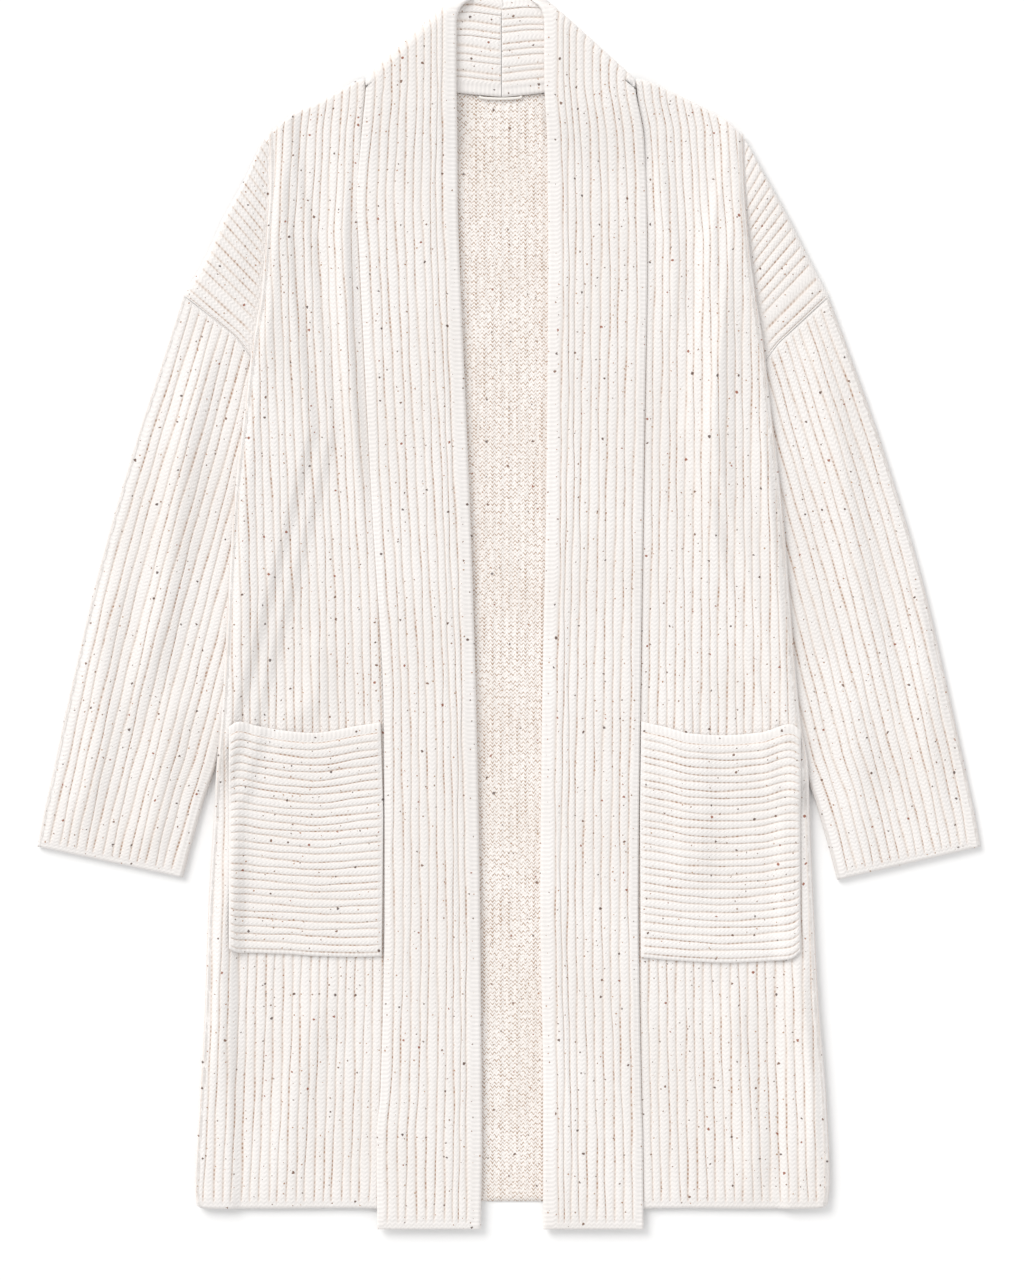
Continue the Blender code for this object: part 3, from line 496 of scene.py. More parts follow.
def weld(data):
    """Join points that meet, drop what has no area, and turn all faces out."""
    mesh = bmesh.new()
    mesh.from_mesh(data)
    bmesh.ops.remove_doubles(mesh, verts=mesh.verts, dist=WELD * MM)
    bmesh.ops.dissolve_degenerate(mesh, edges=mesh.edges, dist=WELD * MM * 0.1)
    bmesh.ops.recalc_face_normals(mesh, faces=mesh.faces)
    mesh.to_mesh(data)
    mesh.free()


def front_y(side, out, row_y):
    """Height of a front's row at a distance out: level low down, along hem and shoulder at its ends."""
    shoulder = along(SHOULDER[side], out) - APEX_Y - EDGE_INSET
    hem = along(FRONT_HEM, out) - FRONT_BOTTOM
    at_shoulder = smooth((row_y - SHOULDER_EASE_Y) / (APEX_Y - SHOULDER_EASE_Y))
    return row_y + shoulder * at_shoulder + hem * (1 - smooth((row_y - FRONT_BOTTOM) / HEM_EASE))


def near_end(distance):
    """Thickness share close to a rounded end."""
    share = np.clip(distance / END_RUN, 0.0, 1.0)
    return BLUNT_END + (1 - BLUNT_END) * np.sqrt(1 - (1 - share) ** 2)


def front(side, materials):
    """Front panel from the band seam round the side fold to the part folded under."""
    rows = np.concatenate((
        FRONT_BOTTOM + np.array((0.0, 0.8, 2.5, 5.0)),
        np.arange(FRONT_BOTTOM + 8.0, FRONT_TOP - 6.0, ROW_STEP),
        FRONT_TOP - np.array((6.0, 3.0, 1.2, 0.0)),
    ))[:, None]
    ends = near_end(rows - FRONT_BOTTOM) * near_end(FRONT_TOP - rows)
    edge = along(SIDE[side], rows)
    for _ in range(6):
        edge = along(SIDE[side], front_y(side, edge, rows))
    limit = edge - HALF_DOUBLE
    limit_y = front_y(side, limit, rows)
    u = rib_columns(FRONT_RIBS)[None, :]
    y = rows + 0 * u
    for _ in range(4):
        drift = wander(u, y, SEEDS[side]["front"]) * smooth(u)
        out = band_seam(side, y) + CLOTH_GAP + along(FRONT_PITCH, y) * u + drift
        y = front_y(side, np.minimum(out, limit), rows)
    out = np.where(out > limit - 0.6, limit, out)
    y = front_y(side, out, rows)
    ribbed = smooth((rows - FRONT_BOTTOM - 4.0) / 6.0) * (1 - smooth((rows - FRONT_TOP + 3.0) / 3.0))
    thick = WALL + (rib(u) - WALL) * ribbed * smooth((limit - out) / 6.0)
    thick[:, 0] = WALL
    z = front_bottom(side, out, y) + thick * ends
    first_out = band_seam(side, rows) - UNDER_LAP
    first_y = front_y(side, first_out, rows)
    first_z = front_bottom(side, first_out, first_y) + WALL * ends

    reach, lap = tail_length(side, limit_y)
    level = limit - reach - lap - SIDE_RAMP - first_out
    low_out = beside(
        first_out + level * np.linspace(0, 0.93, 14),
        limit - reach - lap - np.array((SIDE_RAMP, 15.0, 12.0, 9.0, 6.0)),
        limit - reach - lap * np.array((1.0, 0.8, 0.6, 0.4, 0.25, 0.0)),
        limit - reach * np.array((0.66, 0.33, 0.0)),
    )
    low_y = front_y(side, low_out, rows)
    tail = beside(limit, limit - reach - lap * np.array((0.0, 0.3, 0.65, 1.0)))
    tail_z = tail_bottom(side, tail, limit_y)
    turns = np.radians(FOLD_TURNS)
    full = SLIT / 2 + WALL * np.where(turns > 0, ends, 1.0)
    middle = tail_bottom(side, limit, limit_y) + HALF_DOUBLE
    beyond = np.arange(1, turns.size + tail.shape[1] + 1)
    folded_y = limit_y + 0 * beyond
    all_y = beside(first_y, y, folded_y)
    outer = triples(
        beside(first_out, out, limit + np.cos(turns) * HALF_DOUBLE, tail), all_y,
        beside(first_z, z, middle + np.sin(turns) * full, tail_z),
    )
    inner = triples(
        beside(low_out, limit + np.cos(turns) * SLIT / 2, tail), beside(low_y, folded_y),
        beside(front_bottom(side, low_out, low_y), middle + np.sin(turns) * SLIT / 2, tail_z + WALL),
    )
    last_u = (limit - band_seam(side, limit_y)) / along(FRONT_PITCH, limit_y)
    knit = triples(beside([[-0.5]], u, last_u + beyond * 0.25), all_y, 1 - ribbed)
    low_knit = triples(inner[..., 0] / INSIDE_PITCH, inner[..., 1], 0.0)
    shell = Shell(side)
    shell.wall(
        outer, knit, inner, low_knit, beside(first_out, out, limit + beyond), beside(low_out, limit + beyond),
    )
    return shell.object(side + "_front_knit", materials)


def shoulder(side, materials):
    """Drop shoulder, from the shoulder edge to its end under the side fold."""
    u = rib_columns(SHOULDER_RIBS)[None, :]
    share = u / SHOULDER_RIBS
    table = SHOULDER[side]
    apex_out = table[SHOULDER_APEX][0]
    start_out = apex_out + (table[-1][0] - apex_out) * share
    start_y = along(table, start_out)
    end_y = DROP_TOP_Y + (DROP_END_Y - DROP_TOP_Y) * share
    end_out = tuck_inner(side, end_y) - DROP_UNDER
    to_seam = np.clip((share - 1 + ALONG_SEAM) / ALONG_SEAM, 0.0, 1.0)

    def point(q):
        """Out and y at a share of the way along each rib."""
        out = start_out + (end_out - start_out) * q
        y = start_y + (end_y - start_y) * q
        out = out + (straight(ARMHOLE[side], q * SEAM_END) - out) * to_seam
        y = y + (straight(ARMHOLE[side], q * SEAM_END, 2) + CLOTH_GAP - y) * to_seam
        return out, y

    tries = np.linspace(0.0, 0.9, 91)[:, None]
    try_out, try_y = point(tries)
    clear = try_out > along(SIDE[side], try_y) + EDGE_INSET
    under_fold = 0.01 * np.where(clear.all(axis=0), 90, clear.argmin(axis=0))[None, :]
    steps = np.concatenate(([0.0, 0.012, 0.03, 0.06], np.linspace(0.1, 1.0, 32)))[:, None]
    q = np.concatenate((under_fold * steps, np.minimum(under_fold + 0.06, SEAM_END), 1.0 + 0 * under_fold))
    out, y = point(q)
    shown = smooth((steps - 0.02) / 0.06) * (1 - smooth((steps - 0.86) / 0.14))
    fade = np.concatenate((shown, [[0.0], [0.0]]))
    at_sides = smooth(u) * smooth(SHOULDER_RIBS - u)
    ends = np.concatenate((near_end(steps * 60.0), [[1.0], [1.0]]))
    way = np.clip(q / np.maximum(under_fold, 0.01), 0.0, 1.0)
    puff = DROP_PUFF * np.sin(math.pi * share) ** 0.8 * fade * smooth((0.9 - way) / 0.5)
    low = FRONT_Z + DROP_LIFT + puff * at_sides
    top = low + (WALL + (rib(u) - WALL) * fade * at_sides) * ends
    length = np.hypot(start_out - end_out, start_y - end_y)
    knit = triples(u, 300.0 + q * length, 1 - fade)
    shell = Shell(side)
    shell.lined(triples(out, y, top), triples(out, y, low), knit, np.arange(0, u.size, 4))
    return shell.object(side + "_shoulder_knit", materials)


def band_flat(side, across, run):
    """Point of the unfolded band: across from its opening edge (0 to 1), run along it."""
    opening = along(BAND[side], run)
    seam = along(BAND[side], run, 2)
    return opening + (seam - opening) * across


def band_point(side, out, run, height):
    """Fold the band behind the neck about the diagonal, and give the points in place."""
    fold = NECK_FOLD[side]
    angle = math.radians(fold["angle"])
    normal = (math.sin(angle), math.cos(angle))
    past = (out - fold["out"]) * normal[0] + (run - fold["y"]) * normal[1]
    middle = FRONT_Z + HALF_DOUBLE + neck_rise(run)
    turn = np.clip(past / FOLD_RADIUS, 0.0, math.pi)
    beyond = np.maximum(past - turn * FOLD_RADIUS, 0.0)
    radius = FOLD_RADIUS + height
    shift = np.where(past > 0, radius * np.sin(turn) - beyond - past, 0.0)
    rise = np.where(past > 0, middle - FOLD_RADIUS + radius * np.cos(turn), middle + height)
    lift = fold["lift"] * smooth(beyond / NECK_LIFT_RUN)
    return np.stack((out + shift * normal[0], run + shift * normal[1] + lift, rise), -1)


def band_runs(side):
    """Rows of the band as runs at its opening and seam edges, turning to lie along the neck fold."""
    fold = NECK_FOLD[side]
    angle = math.radians(fold["angle"])
    ends = [float(along(BAND[side], BEHIND_NECK, column)) for column in (1, 2)]
    on_fold = np.array([fold["y"] - (end - fold["out"]) * math.tan(angle) for end in ends])
    level = np.concatenate((
        BAND_BOTTOM + np.array((0.0, 0.5, 1.5, 3.0, 5.0)), np.arange(-545.0, NECK_RISE_Y, ROW_STEP),
        np.arange(NECK_RISE_Y, NECK_RISE_Y + NECK_RISE_RUN + 0.1, 3.0),
    ))
    runs = [np.array((y, y)) for y in level]
    turned = len(runs)
    for share in np.linspace(0.0, 1.0, 16)[1:-1]:
        runs.append(level[-1] + (on_fold - level[-1]) * share)
    half_turn = math.pi * FOLD_RADIUS
    rolled = np.linspace(0.0, half_turn, 9)[1:]
    for past in np.concatenate(([-1.0], rolled, [half_turn + PAST_FOLD / 2, half_turn + PAST_FOLD])):
        runs.append(on_fold + past / math.cos(angle))
    folded = len(runs) - 3
    centre = (CENTRE_BACK if side == "left" else -CENTRE_BACK) + SEAM_GAP / 2
    beyond = np.array([(end - centre + half_turn * math.sin(angle)) / math.sin(2 * angle) for end in ends])
    start = (half_turn + PAST_FOLD) / math.cos(angle)
    for share in np.concatenate((np.linspace(0.0, 1.0, 30)[1:-1], [0.985, 0.994, 1.0])):
        runs.append(on_fold + start + (beyond - start) * share)
    return np.array(runs), turned, folded


def band(side, materials):
    """Doubled band: up the front, over at the neck fold and along the back neck to the centre seam."""
    runs, turned, folded = band_runs(side)
    opening, seam_run = runs[:, :1], runs[:, 1:]
    rows = len(runs)
    number = np.arange(rows)[:, None]
    width = band_flat(side, 1.0, seam_run) - band_flat(side, 0.0, opening)
    u = rib_columns(BAND_RIBS)[None, :]
    seed = SEEDS[side]["band"]
    rib_edges = np.concatenate(([0.0], np.cumsum(BAND_SHARES))) / sum(BAND_SHARES)
    reach_u = np.interp(u, np.arange(BAND_RIBS + 1), rib_edges)
    ends = near_end(opening - BAND_BOTTOM)
    ribbed_up = smooth((opening - BAND_BOTTOM - 5.0) / 6.0) * (1 - smooth((number - folded + 8.0) / 6.0))
    ribbed_down = smooth((number - folded + 2.0) / 4.0) * smooth((rows - 1 - number) / 3.0)
    at_sides = smooth(u * 1.2) * smooth((BAND_RIBS - u) * 1.4)
    drift = wander(u, opening, seed) * at_sides / width
    to_fold = 1 - smooth((number - turned) / 8.0)

    span = 1 - (HALF_DOUBLE + TURN_ROOM) / width
    reach = HALF_DOUBLE / width + span * reach_u + drift * to_fold
    thick = WALL + (rib(u) - WALL) * ribbed_up * at_sides
    up_reach = beside(reach, 1.0)[:, ::-1]
    up_high = SLIT / 2 + (beside(thick, FREE_EDGE) * ends)[:, ::-1]

    turns = np.radians(FOLD_TURNS)
    arc_high = np.sin(turns) * (SLIT / 2 + WALL * ends)
    arc_reach = (HALF_DOUBLE - HALF_DOUBLE * np.cos(turns)) / width
    arc_low = (HALF_DOUBLE - SLIT / 2 * np.cos(turns)) / width

    behind = smooth((number - folded + 3.0) / 3.0)
    short = (width - BAND_LAP + 4.5 * behind) / width
    span = short - (HALF_DOUBLE + TURN_ROOM) / width
    down_drift = 1.7 * wander(u, opening, seed + 3.0) * at_sides / width * (number >= folded)
    down = HALF_DOUBLE / width + span * u / BAND_RIBS + down_drift
    down_thick = WALL + (rib(u) - WALL) * ribbed_down * at_sides
    columns = np.arange(u.size)
    coarse = np.where(number < folded - 1, columns - columns % 8, columns)
    down = np.take_along_axis(down, coarse, axis=1)
    down_thick = np.where(number < folded - 1, WALL, down_thick)
    steps = np.array(STRIP_STEPS)
    strip = short + (1.0 + NECK_SEAM_GAP * steps / width - short) * behind * steps
    down_reach = beside(down, short, strip)
    full_high = SLIT / 2 + (FREE_EDGE + (WALL - FREE_EDGE) * behind) * ends
    strip_high = behind * np.array(STRIP_DROPS) - full_high
    down_high = beside(-SLIT / 2 - down_thick * ends, -full_high, strip_high)

    ups = up_reach.shape[1]
    arcs = turns.size
    low_height = SLIT / 2 * np.concatenate((np.ones(ups), np.sin(turns), -np.ones(down_reach.shape[1])))
    low_across = np.minimum(beside(up_reach, arc_low, down_reach), 1.0)

    def placed(reach_at, height_at):
        """Points at shares of the width and heights, and their runs along the band."""
        run = opening + (seam_run - opening) * reach_at
        points = band_point(side, band_flat(side, reach_at, run), run, height_at)
        return round_corner(side, points), run

    outer, run = placed(beside(up_reach, arc_reach, down_reach), beside(up_high, arc_high, down_high))
    inner, _ = placed(low_across, low_height)
    shown_u = np.clip(beside(u, BAND_RIBS), 0.5, BAND_RIBS - 0.5)
    strip_u = np.full(steps.size, BAND_RIBS - 0.5)
    coordinate = beside(shown_u[:, ::-1], np.full(arcs, 0.5), shown_u, strip_u)
    ribbed = beside(ribbed_up * np.ones(ups + arcs), ribbed_down * np.ones(ups), 0 * strip_u)
    total = coordinate.shape[1]
    kept = sorted(
        set(range(0, ups, 16)) | set(range(ups - 2, ups + arcs + 2)) | set(range(ups + arcs, total, 8))
        | {0, 1, total - 2, total - 1}
    )
    shell = Shell(side)
    shell.lined(outer, inner, triples(coordinate, run, 1 - ribbed), kept)
    return shell.object(side + "_band_knit", materials)


def round_corner(side, points):
    """Round the band's opening edge inwards close under the top of the neck."""
    edge = float(along(BAND[side], BEHIND_NECK))
    climb = np.clip((points[..., 1] - NECK_TOP + NECK_ROUND) / NECK_ROUND, 0.0, 1.0)
    inwards = NECK_ROUND * (1 - np.sqrt(1 - climb ** 2 * 0.98)) * 0.8
    weight = 1 - smooth((points[..., 0] - edge) / 30.0)
    on_top = smooth((points[..., 2] - 6.0) / 3.0)
    rounded = points.copy()
    rounded[..., 0] -= inwards * weight * on_top
    return rounded


def neck_seam(side):
    """Lower edge of the band behind the neck, as pairs of out and y from the fold to the centre."""
    fold = NECK_FOLD[side]
    seam = float(along(BAND[side], BEHIND_NECK, 2))
    level = fold["y"] - (seam - fold["out"]) * math.tan(math.radians(fold["angle"]))
    start = math.pi * FOLD_RADIUS / math.cos(math.radians(fold["angle"]))
    steps = level + start + np.linspace(0.0, 126.0, 15)
    return band_point(side, seam + 0 * steps, steps, 0 * steps)[:, :2]


def back_edge(side):
    """Edge of the back from the hem up to the shoulder at the neck, as pairs of out and y."""
    points = [(float(along(SIDE[side], BACK_HEM)) - 9.0, BACK_HEM)]
    for y in (BACK_HEM + 5.0, -370.0, -205.0, -160.0):
        points.append((float(along(SIDE[side], y)) - 1.5, y))
    points.append((float(tuck_inner(side, CROTCH_Y)) - 3.0, CROTCH_Y))
    points.append((UNDERARM_OUT - 2.0, UNDERARM_Y - 1.0))
    for row in ARMHOLE[side][::-1]:
        points.append((row[1] - SEAM_GAP, row[2] + SEAM_GAP * 1.2))
    for row in SHOULDER[side][-2:2:-1]:
        points.append((row[0] - 1.2, row[1] - 1.2))
    seam = neck_seam(side)
    start = seam[seam[:, 0].argmax()]
    points.append((start[0], start[1] - NECK_SEAM_GAP))
    return np.array(points)


def back(materials):
    """Back panel, face down on the floor, with its inside up."""
    edges = {side: back_edge(side) for side in ("right", "left")}
    knots = np.arange(len(edges["left"]))
    spots = []
    for k in knots[:-1]:
        length = np.linalg.norm(edges["left"][k + 1] - edges["left"][k])
        spots.extend(np.linspace(k, k + 1, max(int(length / 5.0), 2), endpoint=False))
    spots.append(knots[-1])
    spots = np.array(spots)
    right = np.stack([np.interp(spots, knots, edges["right"][:, c]) for c in (0, 1)], -1)
    left = np.stack([np.interp(spots, knots, edges["left"][:, c]) for c in (0, 1)], -1)
    share = np.concatenate((
        [0.0, 0.004, 0.012, 0.08, 0.16, 0.24, 0.32, 0.38], np.linspace(0.4, 0.6, 73),
        [0.62, 0.68, 0.76, 0.84, 0.92, 0.988, 0.996, 1.0],
    ))[None, :]
    kept = [0, 1, 2, 4, 6, 8, 26, 44, 62, 80, 82, 84, 86, 87, 88]
    ends = {side: edges[side][-1] for side in edges}
    scoop = smooth((left[:, 1] - 430.0) / (ends["left"][1] - 430.0))[:, None]
    x = -right[:, :1] + (left[:, :1] + right[:, :1]) * share
    y = right[:, 1:] + (left[:, 1:] - right[:, 1:]) * share
    top_x = -ends["right"][0] + (ends["left"][0] + ends["right"][0]) * share
    top_y = ends["right"][1] + (ends["left"][1] - ends["right"][1]) * share
    seams = {side: neck_seam(side)[np.argsort(neck_seam(side)[:, 0])] for side in edges}
    on_left = np.interp(top_x, seams["left"][:, 0], seams["left"][:, 1])
    on_right = np.interp(-top_x, seams["right"][:, 0], seams["right"][:, 1])
    seam = np.where(top_x > CENTRE_BACK, on_left, on_right)
    inside = (share > 0) & (share < 1)
    y = y + scoop * (seam - NECK_SEAM_GAP - top_y) * inside
    u = x / BACK_PITCH
    relief = 0.28 * np.cos(2 * math.pi * u) * ((share > 0.39) & (share < 0.61))
    from_side = np.minimum(share, 1 - share) * (left[:, :1] + right[:, :1])
    from_hem = y - BACK_HEM
    z = WALL * near_end(from_side) * near_end(from_hem) + np.where(from_hem > 4, relief, 0.0) - 0.25
    shell = Shell()
    shell.lined(triples(x, y, z), triples(x, y, 0.0), triples(u, y, 0.0), kept, kinds=(0, 1))
    return shell.object("back_knit", materials)


def sleeve(side, materials):
    """Flat sleeve tube from the cuff to the armhole, its two layers joined at rounded edges."""
    shares = np.concatenate((
        [0.0, 0.0015, 0.004, 0.008, 0.012], np.linspace(0.016, 0.985, 130), [0.99, 0.996, 1.0]))[:, None]
    table = SLEEVE[side]
    outer_end = np.stack((along(table, shares, 2), along(table, shares, 1)), -1)
    inner_end = np.stack((straight(table, shares, 4), straight(table, shares, 3)), -1)
    width = np.linalg.norm(outer_end - inner_end, axis=-1)
    run = shares * SLEEVE_LENGTH
    ends = near_end(run)
    ribbed = smooth((run - 4.0) / 6.0) * (1 - smooth((shares - 0.99) / 0.008))
    u = rib_columns(SLEEVE_RIBS)[None, :]
    at_sides = smooth(u * 1.5) * smooth((SLEEVE_RIBS - u) * 1.5)
    flat = width - 2 * HALF_DOUBLE
    drift = wander(u, run, SEEDS[side]["sleeve"]) * at_sides
    reach = HALF_DOUBLE + flat * u / SLEEVE_RIBS + drift
    thick = WALL + (rib(u) - WALL) * ribbed * at_sides

    def laid(across):
        """Out and y at shares of the sleeve's width, before it bends to its seam."""
        return [outer_end[..., c] + (inner_end[..., c] - outer_end[..., c]) * across for c in (0, 1)]

    def placed(reach_at, height_at):
        """Points at distances across and heights, bent to the seam close to the armhole."""
        across = reach_at / width
        out, y = laid(across)
        hole = ARMHOLE[side]
        chord_out = hole[0][1] + (hole[-1][1] - hole[0][1]) * across
        chord_y = hole[0][2] + (hole[-1][2] - hole[0][2]) * across
        blend = smooth((shares - SEAM_BLEND) / (1 - SEAM_BLEND))
        out = out + (straight(hole, across) - chord_out) * blend
        y = y + (straight(hole, across, 2) - chord_y - CLOTH_GAP) * blend
        return triples(out, y, height_at)

    q = reach / width
    out, y = laid(q)
    clear_of_body = smooth((out - along(SIDE[side], y) - 3.0) / 16.0)
    clear_of_body = np.where(y < CROTCH_Y - 30.0, 1.0, clear_of_body)
    at_ends = (1 - smooth((shares - 0.93) / 0.06)) * (0.3 + 0.7 * smooth(shares / 0.08))
    puff = sum(ridge(shares, q, *row) for row in SLEEVE_RIDGES[side]) * clear_of_body * at_sides * at_ends
    top = WALL + SLIT + puff
    turns = np.radians(SLEEVE_TURNS)
    full = SLIT / 2 + WALL * np.where(turns > 0, ends, 1.0)
    low_reach = HALF_DOUBLE + flat * np.array((1.0, 0.8, 0.6, 0.4, 0.2, 0.0))

    def ring(upper, radius, rise, under):
        """Once round the tube: upper layer, inner edge, lower layer, outer edge."""
        across = beside(
            reach, width - HALF_DOUBLE + radius * np.cos(turns), low_reach,
            HALF_DOUBLE - radius * np.cos(turns[::-1]), reach[:, :1],
        )
        turning = HALF_DOUBLE + np.atleast_2d(rise * np.sin(turns))
        return placed(across, beside(
            upper, turning, np.full(low_reach.shape[1], under), turning[:, ::-1], upper[:, :1],
        ))

    outer = ring(top + thick * ends, HALF_DOUBLE, full, 0.0)
    inner = ring(top, SLIT / 2, SLIT / 2, WALL)
    tops = u.size
    total = outer.shape[1]
    kept = sorted(set(range(0, tops, 4)) | {tops - 1} | set(range(tops, total)))
    round_u = np.linspace(SLEEVE_RIBS, 2 * SLEEVE_RIBS, total - tops + 1)[1:]
    knit = triples(beside(np.clip(u, 0.5, SLEEVE_RIBS - 0.5), round_u), run, 1 - ribbed)
    shell = Shell(side)
    upper = shell.sheet(outer, knit)
    lower = shell.sheet(inner[:, kept], knit[:, kept])
    shell.quads(upper, 0)
    shell.quads(lower, 0, flip=True)
    for i in (0, -1):
        shell.rim(upper[i], lower[i], np.arange(total), kept, 0)
    return shell.object(side + "_sleeve_knit", materials)


def pocket(side, materials):
    """Patch pocket with crosswise ribs, lying on the front's crests."""
    table = POCKET[side]
    first, last = table[0][0], table[-1][0]
    width = last - first
    shares = np.concatenate((
        [0.0, 0.005, 0.013, 0.03], np.linspace(0.055, 0.95, 34), [0.97, 0.986, 0.995, 1.0]))[:, None]
    top = along(table, first + width * shares, 1)
    bottom = along(table, first + width * shares, 2)
    u = rib_columns(POCKET_RIBS)[None, :]
    marks = bottom + 4.0 + (top - 9.0 - bottom - 4.0) * u / POCKET_RIBS
    drift = 0.8 * wander(u, shares * width * 1.7, SEEDS[side]["pocket"])
    marks = marks + drift * smooth(u) * smooth(POCKET_RIBS - u)
    low_marks = np.array((0.0, 0.5, 1.6, 3.0))
    high_marks = np.array((7.0, 5.0, 2.6, 1.1, 0.4, 0.0))
    y = beside(bottom + low_marks, marks, top - high_marks)
    by_band = band_seam(side, y) + 2 * SEAM_GAP
    out = by_band + (last - by_band) * shares
    lifts = [
        front_bottom(side, out + shift, y + rise)
        for shift in (-5.0, 0.0, 5.0) for rise in (-12.0, 0.0, 12.0)
    ]
    low = np.maximum.reduce(lifts) + CREST + 0.15
    ribbed = beside(0 * low_marks, np.ones(u.size), 0 * high_marks)
    numbers = beside(0 * low_marks, u, POCKET_RIBS + 0.45 + 0 * high_marks)
    at_sides = smooth(shares * width / 5.0) * smooth((1 - shares) * width / 4.0)
    thick = WALL + (rib(numbers) - WALL) * ribbed * at_sides
    ends = near_end((y - bottom) * 1.6) * near_end((top - y) * 1.6)
    sides = near_end((1 - shares) * width * 1.6) * near_end(shares * width * 1.6 + 1.0)
    sag = 1.2 * np.sin(math.pi * shares) * smooth((y - top + 60.0) / 60.0)
    high = low + thick * ends * sides + sag
    ribs_end = low_marks.size + u.size
    kept = [*range(low_marks.size), *range(low_marks.size, ribs_end, 8), *range(ribs_end, y.shape[1])]
    knit = triples(numbers, out + 700.0, 1 - ribbed * at_sides)
    shell = Shell(side)
    shell.lined(triples(out, y, high), triples(out, y, low + sag), knit, kept)
    return shell.object(side + "_pocket_knit", materials)


def hanger_loop(material):
    """Thin cord loop under the back neck seam, its ends at the seam."""
    curve = bpy.data.curves.new("hanger_loop_cord", "CURVE")
    curve.dimensions = "3D"
    curve.bevel_depth = LOOP_RADIUS * MM
    curve.bevel_resolution = 4
    curve.use_fill_caps = True
    spline = curve.splines.new("POLY")
    spline.points.add(LOOP_STEPS)
    keyed = [(k / (len(LOOP) - 1), x, y) for k, (x, y) in enumerate(LOOP)]
    shares = np.linspace(0.0, 1.0, LOOP_STEPS + 1)
    line = np.stack((along(keyed, shares, 1), along(keyed, shares, 2)), -1) * MM
    height = (WALL + SEAM_GAP + LOOP_RADIUS) * MM
    for k, (x, y) in enumerate(line):
        spline.points[k].co = (x, y, height, 1.0)
    piece = bpy.data.objects.new("hanger_loop_cord", curve)
    bpy.context.scene.collection.objects.link(piece)
    curve.materials.append(material)
    length = float(np.linalg.norm(np.diff(line, axis=0), axis=1).sum())
    return piece, length, (float(line[0][0]), float(line[0][1]), height)


class Graph:
    """Short names for building a material's nodes."""

    def __init__(self, name):
        self.material = bpy.data.materials.new(name)
        self.material.use_nodes = True
        self.tree = self.material.node_tree
        self.shader = self.tree.nodes["Principled BSDF"]

    def plug(self, socket, value):
        """Link a socket's value, or set a plain one."""
        if isinstance(value, bpy.types.NodeSocket):
            self.tree.links.new(value, socket)
        else:
            socket.default_value = value

    def node(self, kind, inputs, **settings):
        """Add a node with its settings and inputs, and give back its outputs."""
        node = self.tree.nodes.new("ShaderNode" + kind)
        for name, setting in settings.items():
            setattr(node, name, setting)
        for socket, value in inputs.items():
            self.plug(node.inputs[socket], value)
        return node.outputs

    def math(self, operation, *values):
        """Arithmetic on values or sockets."""
        return self.node("Math", dict(enumerate(values)), operation=operation)[0]

    def times(self, first, *others):
        """Product of all values."""
        for other in others:
            first = self.math("MULTIPLY", first, other)
        return first

    def linear(self, value, factor, offset):
        """A value times a factor, plus an offset."""
        return self.math("MULTIPLY_ADD", value, factor, offset)

    def wave(self, turns):
        """Cosine of an angle given in full turns."""
        return self.math("COSINE", self.times(turns, 2 * math.pi))

    def ramp(self, value, low, high, to_low=0.0, to_high=1.0):
        """Smooth step of a value between two limits."""
        inputs = {"Value": value, "From Min": low, "From Max": high, "To Min": to_low, "To Max": to_high}
        return self.node("MapRange", inputs, interpolation_type="SMOOTHSTEP")[0]

    def noise(self, vector, scale, detail=2.0):
        """Cloudy noise from 0 to 1."""
        return self.node("TexNoise", {"Vector": vector, "Scale": scale, "Detail": detail})[0]

    def stretched(self, across, run, level, detail=2.0):
        """Noise over knit coordinates, each given with its scale."""
        spot = self.node("CombineXYZ", {0: self.times(*across), 1: self.times(*run), 2: level})[0]
        return self.noise(spot, 1.0, detail)

    def mix(self, factor, low, high):
        """Blend two colours, each a tuple or a socket."""
        inputs = {"Factor": factor}
        for name, colour in (("A", low), ("B", high)):
            inputs[name] = colour if isinstance(colour, bpy.types.NodeSocket) else (*colour, 1.0)
        return self.node("Mix", inputs, data_type="RGBA")["Result"]

    def mottled(self, tones, scale, detail=2.0, low=0.3, high=0.7):
        """Soft patches of two tones."""
        return self.mix(self.ramp(self.noise(self.place(), scale, detail), low, high), *tones)

    def knit_coordinates(self):
        """Rib number, run in millimetres and plain share of the surface."""
        stored = self.node("Attribute", {}, attribute_type="GEOMETRY", attribute_name="knit")["Vector"]
        return self.node("SeparateXYZ", {0: stored})

    def grooves(self, u):
        """Number of the nearest groove, and the distance to it in ribs."""
        near = self.math("FLOOR", self.math("ADD", u, 0.5))
        return near, self.math("ABSOLUTE", self.math("SUBTRACT", u, near))

    def place(self):
        """Coordinates in the object's own space."""
        return self.node("TexCoord", {})["Object"]

    def wool(self, colour, height, distance, strength):
        """Finish the material as matt wool with a little fuzz."""
        bump = self.node("Bump", {"Distance": distance, "Strength": strength, "Height": height})["Normal"]
        self.plug(self.shader.inputs["Base Color"], colour)
        self.plug(self.shader.inputs["Normal"], bump)
        self.shader.inputs["Roughness"].default_value = 0.95
        self.shader.inputs["Specular IOR Level"].default_value = 0.2
        self.shader.inputs["Sheen Weight"].default_value = 0.12
        self.shader.inputs["Sheen Roughness"].default_value = 0.6
        return self.material


def shade(colour, factor):
    """A colour with its channels taken down."""
    return tuple(float(channel) for channel in np.multiply(colour, factor))


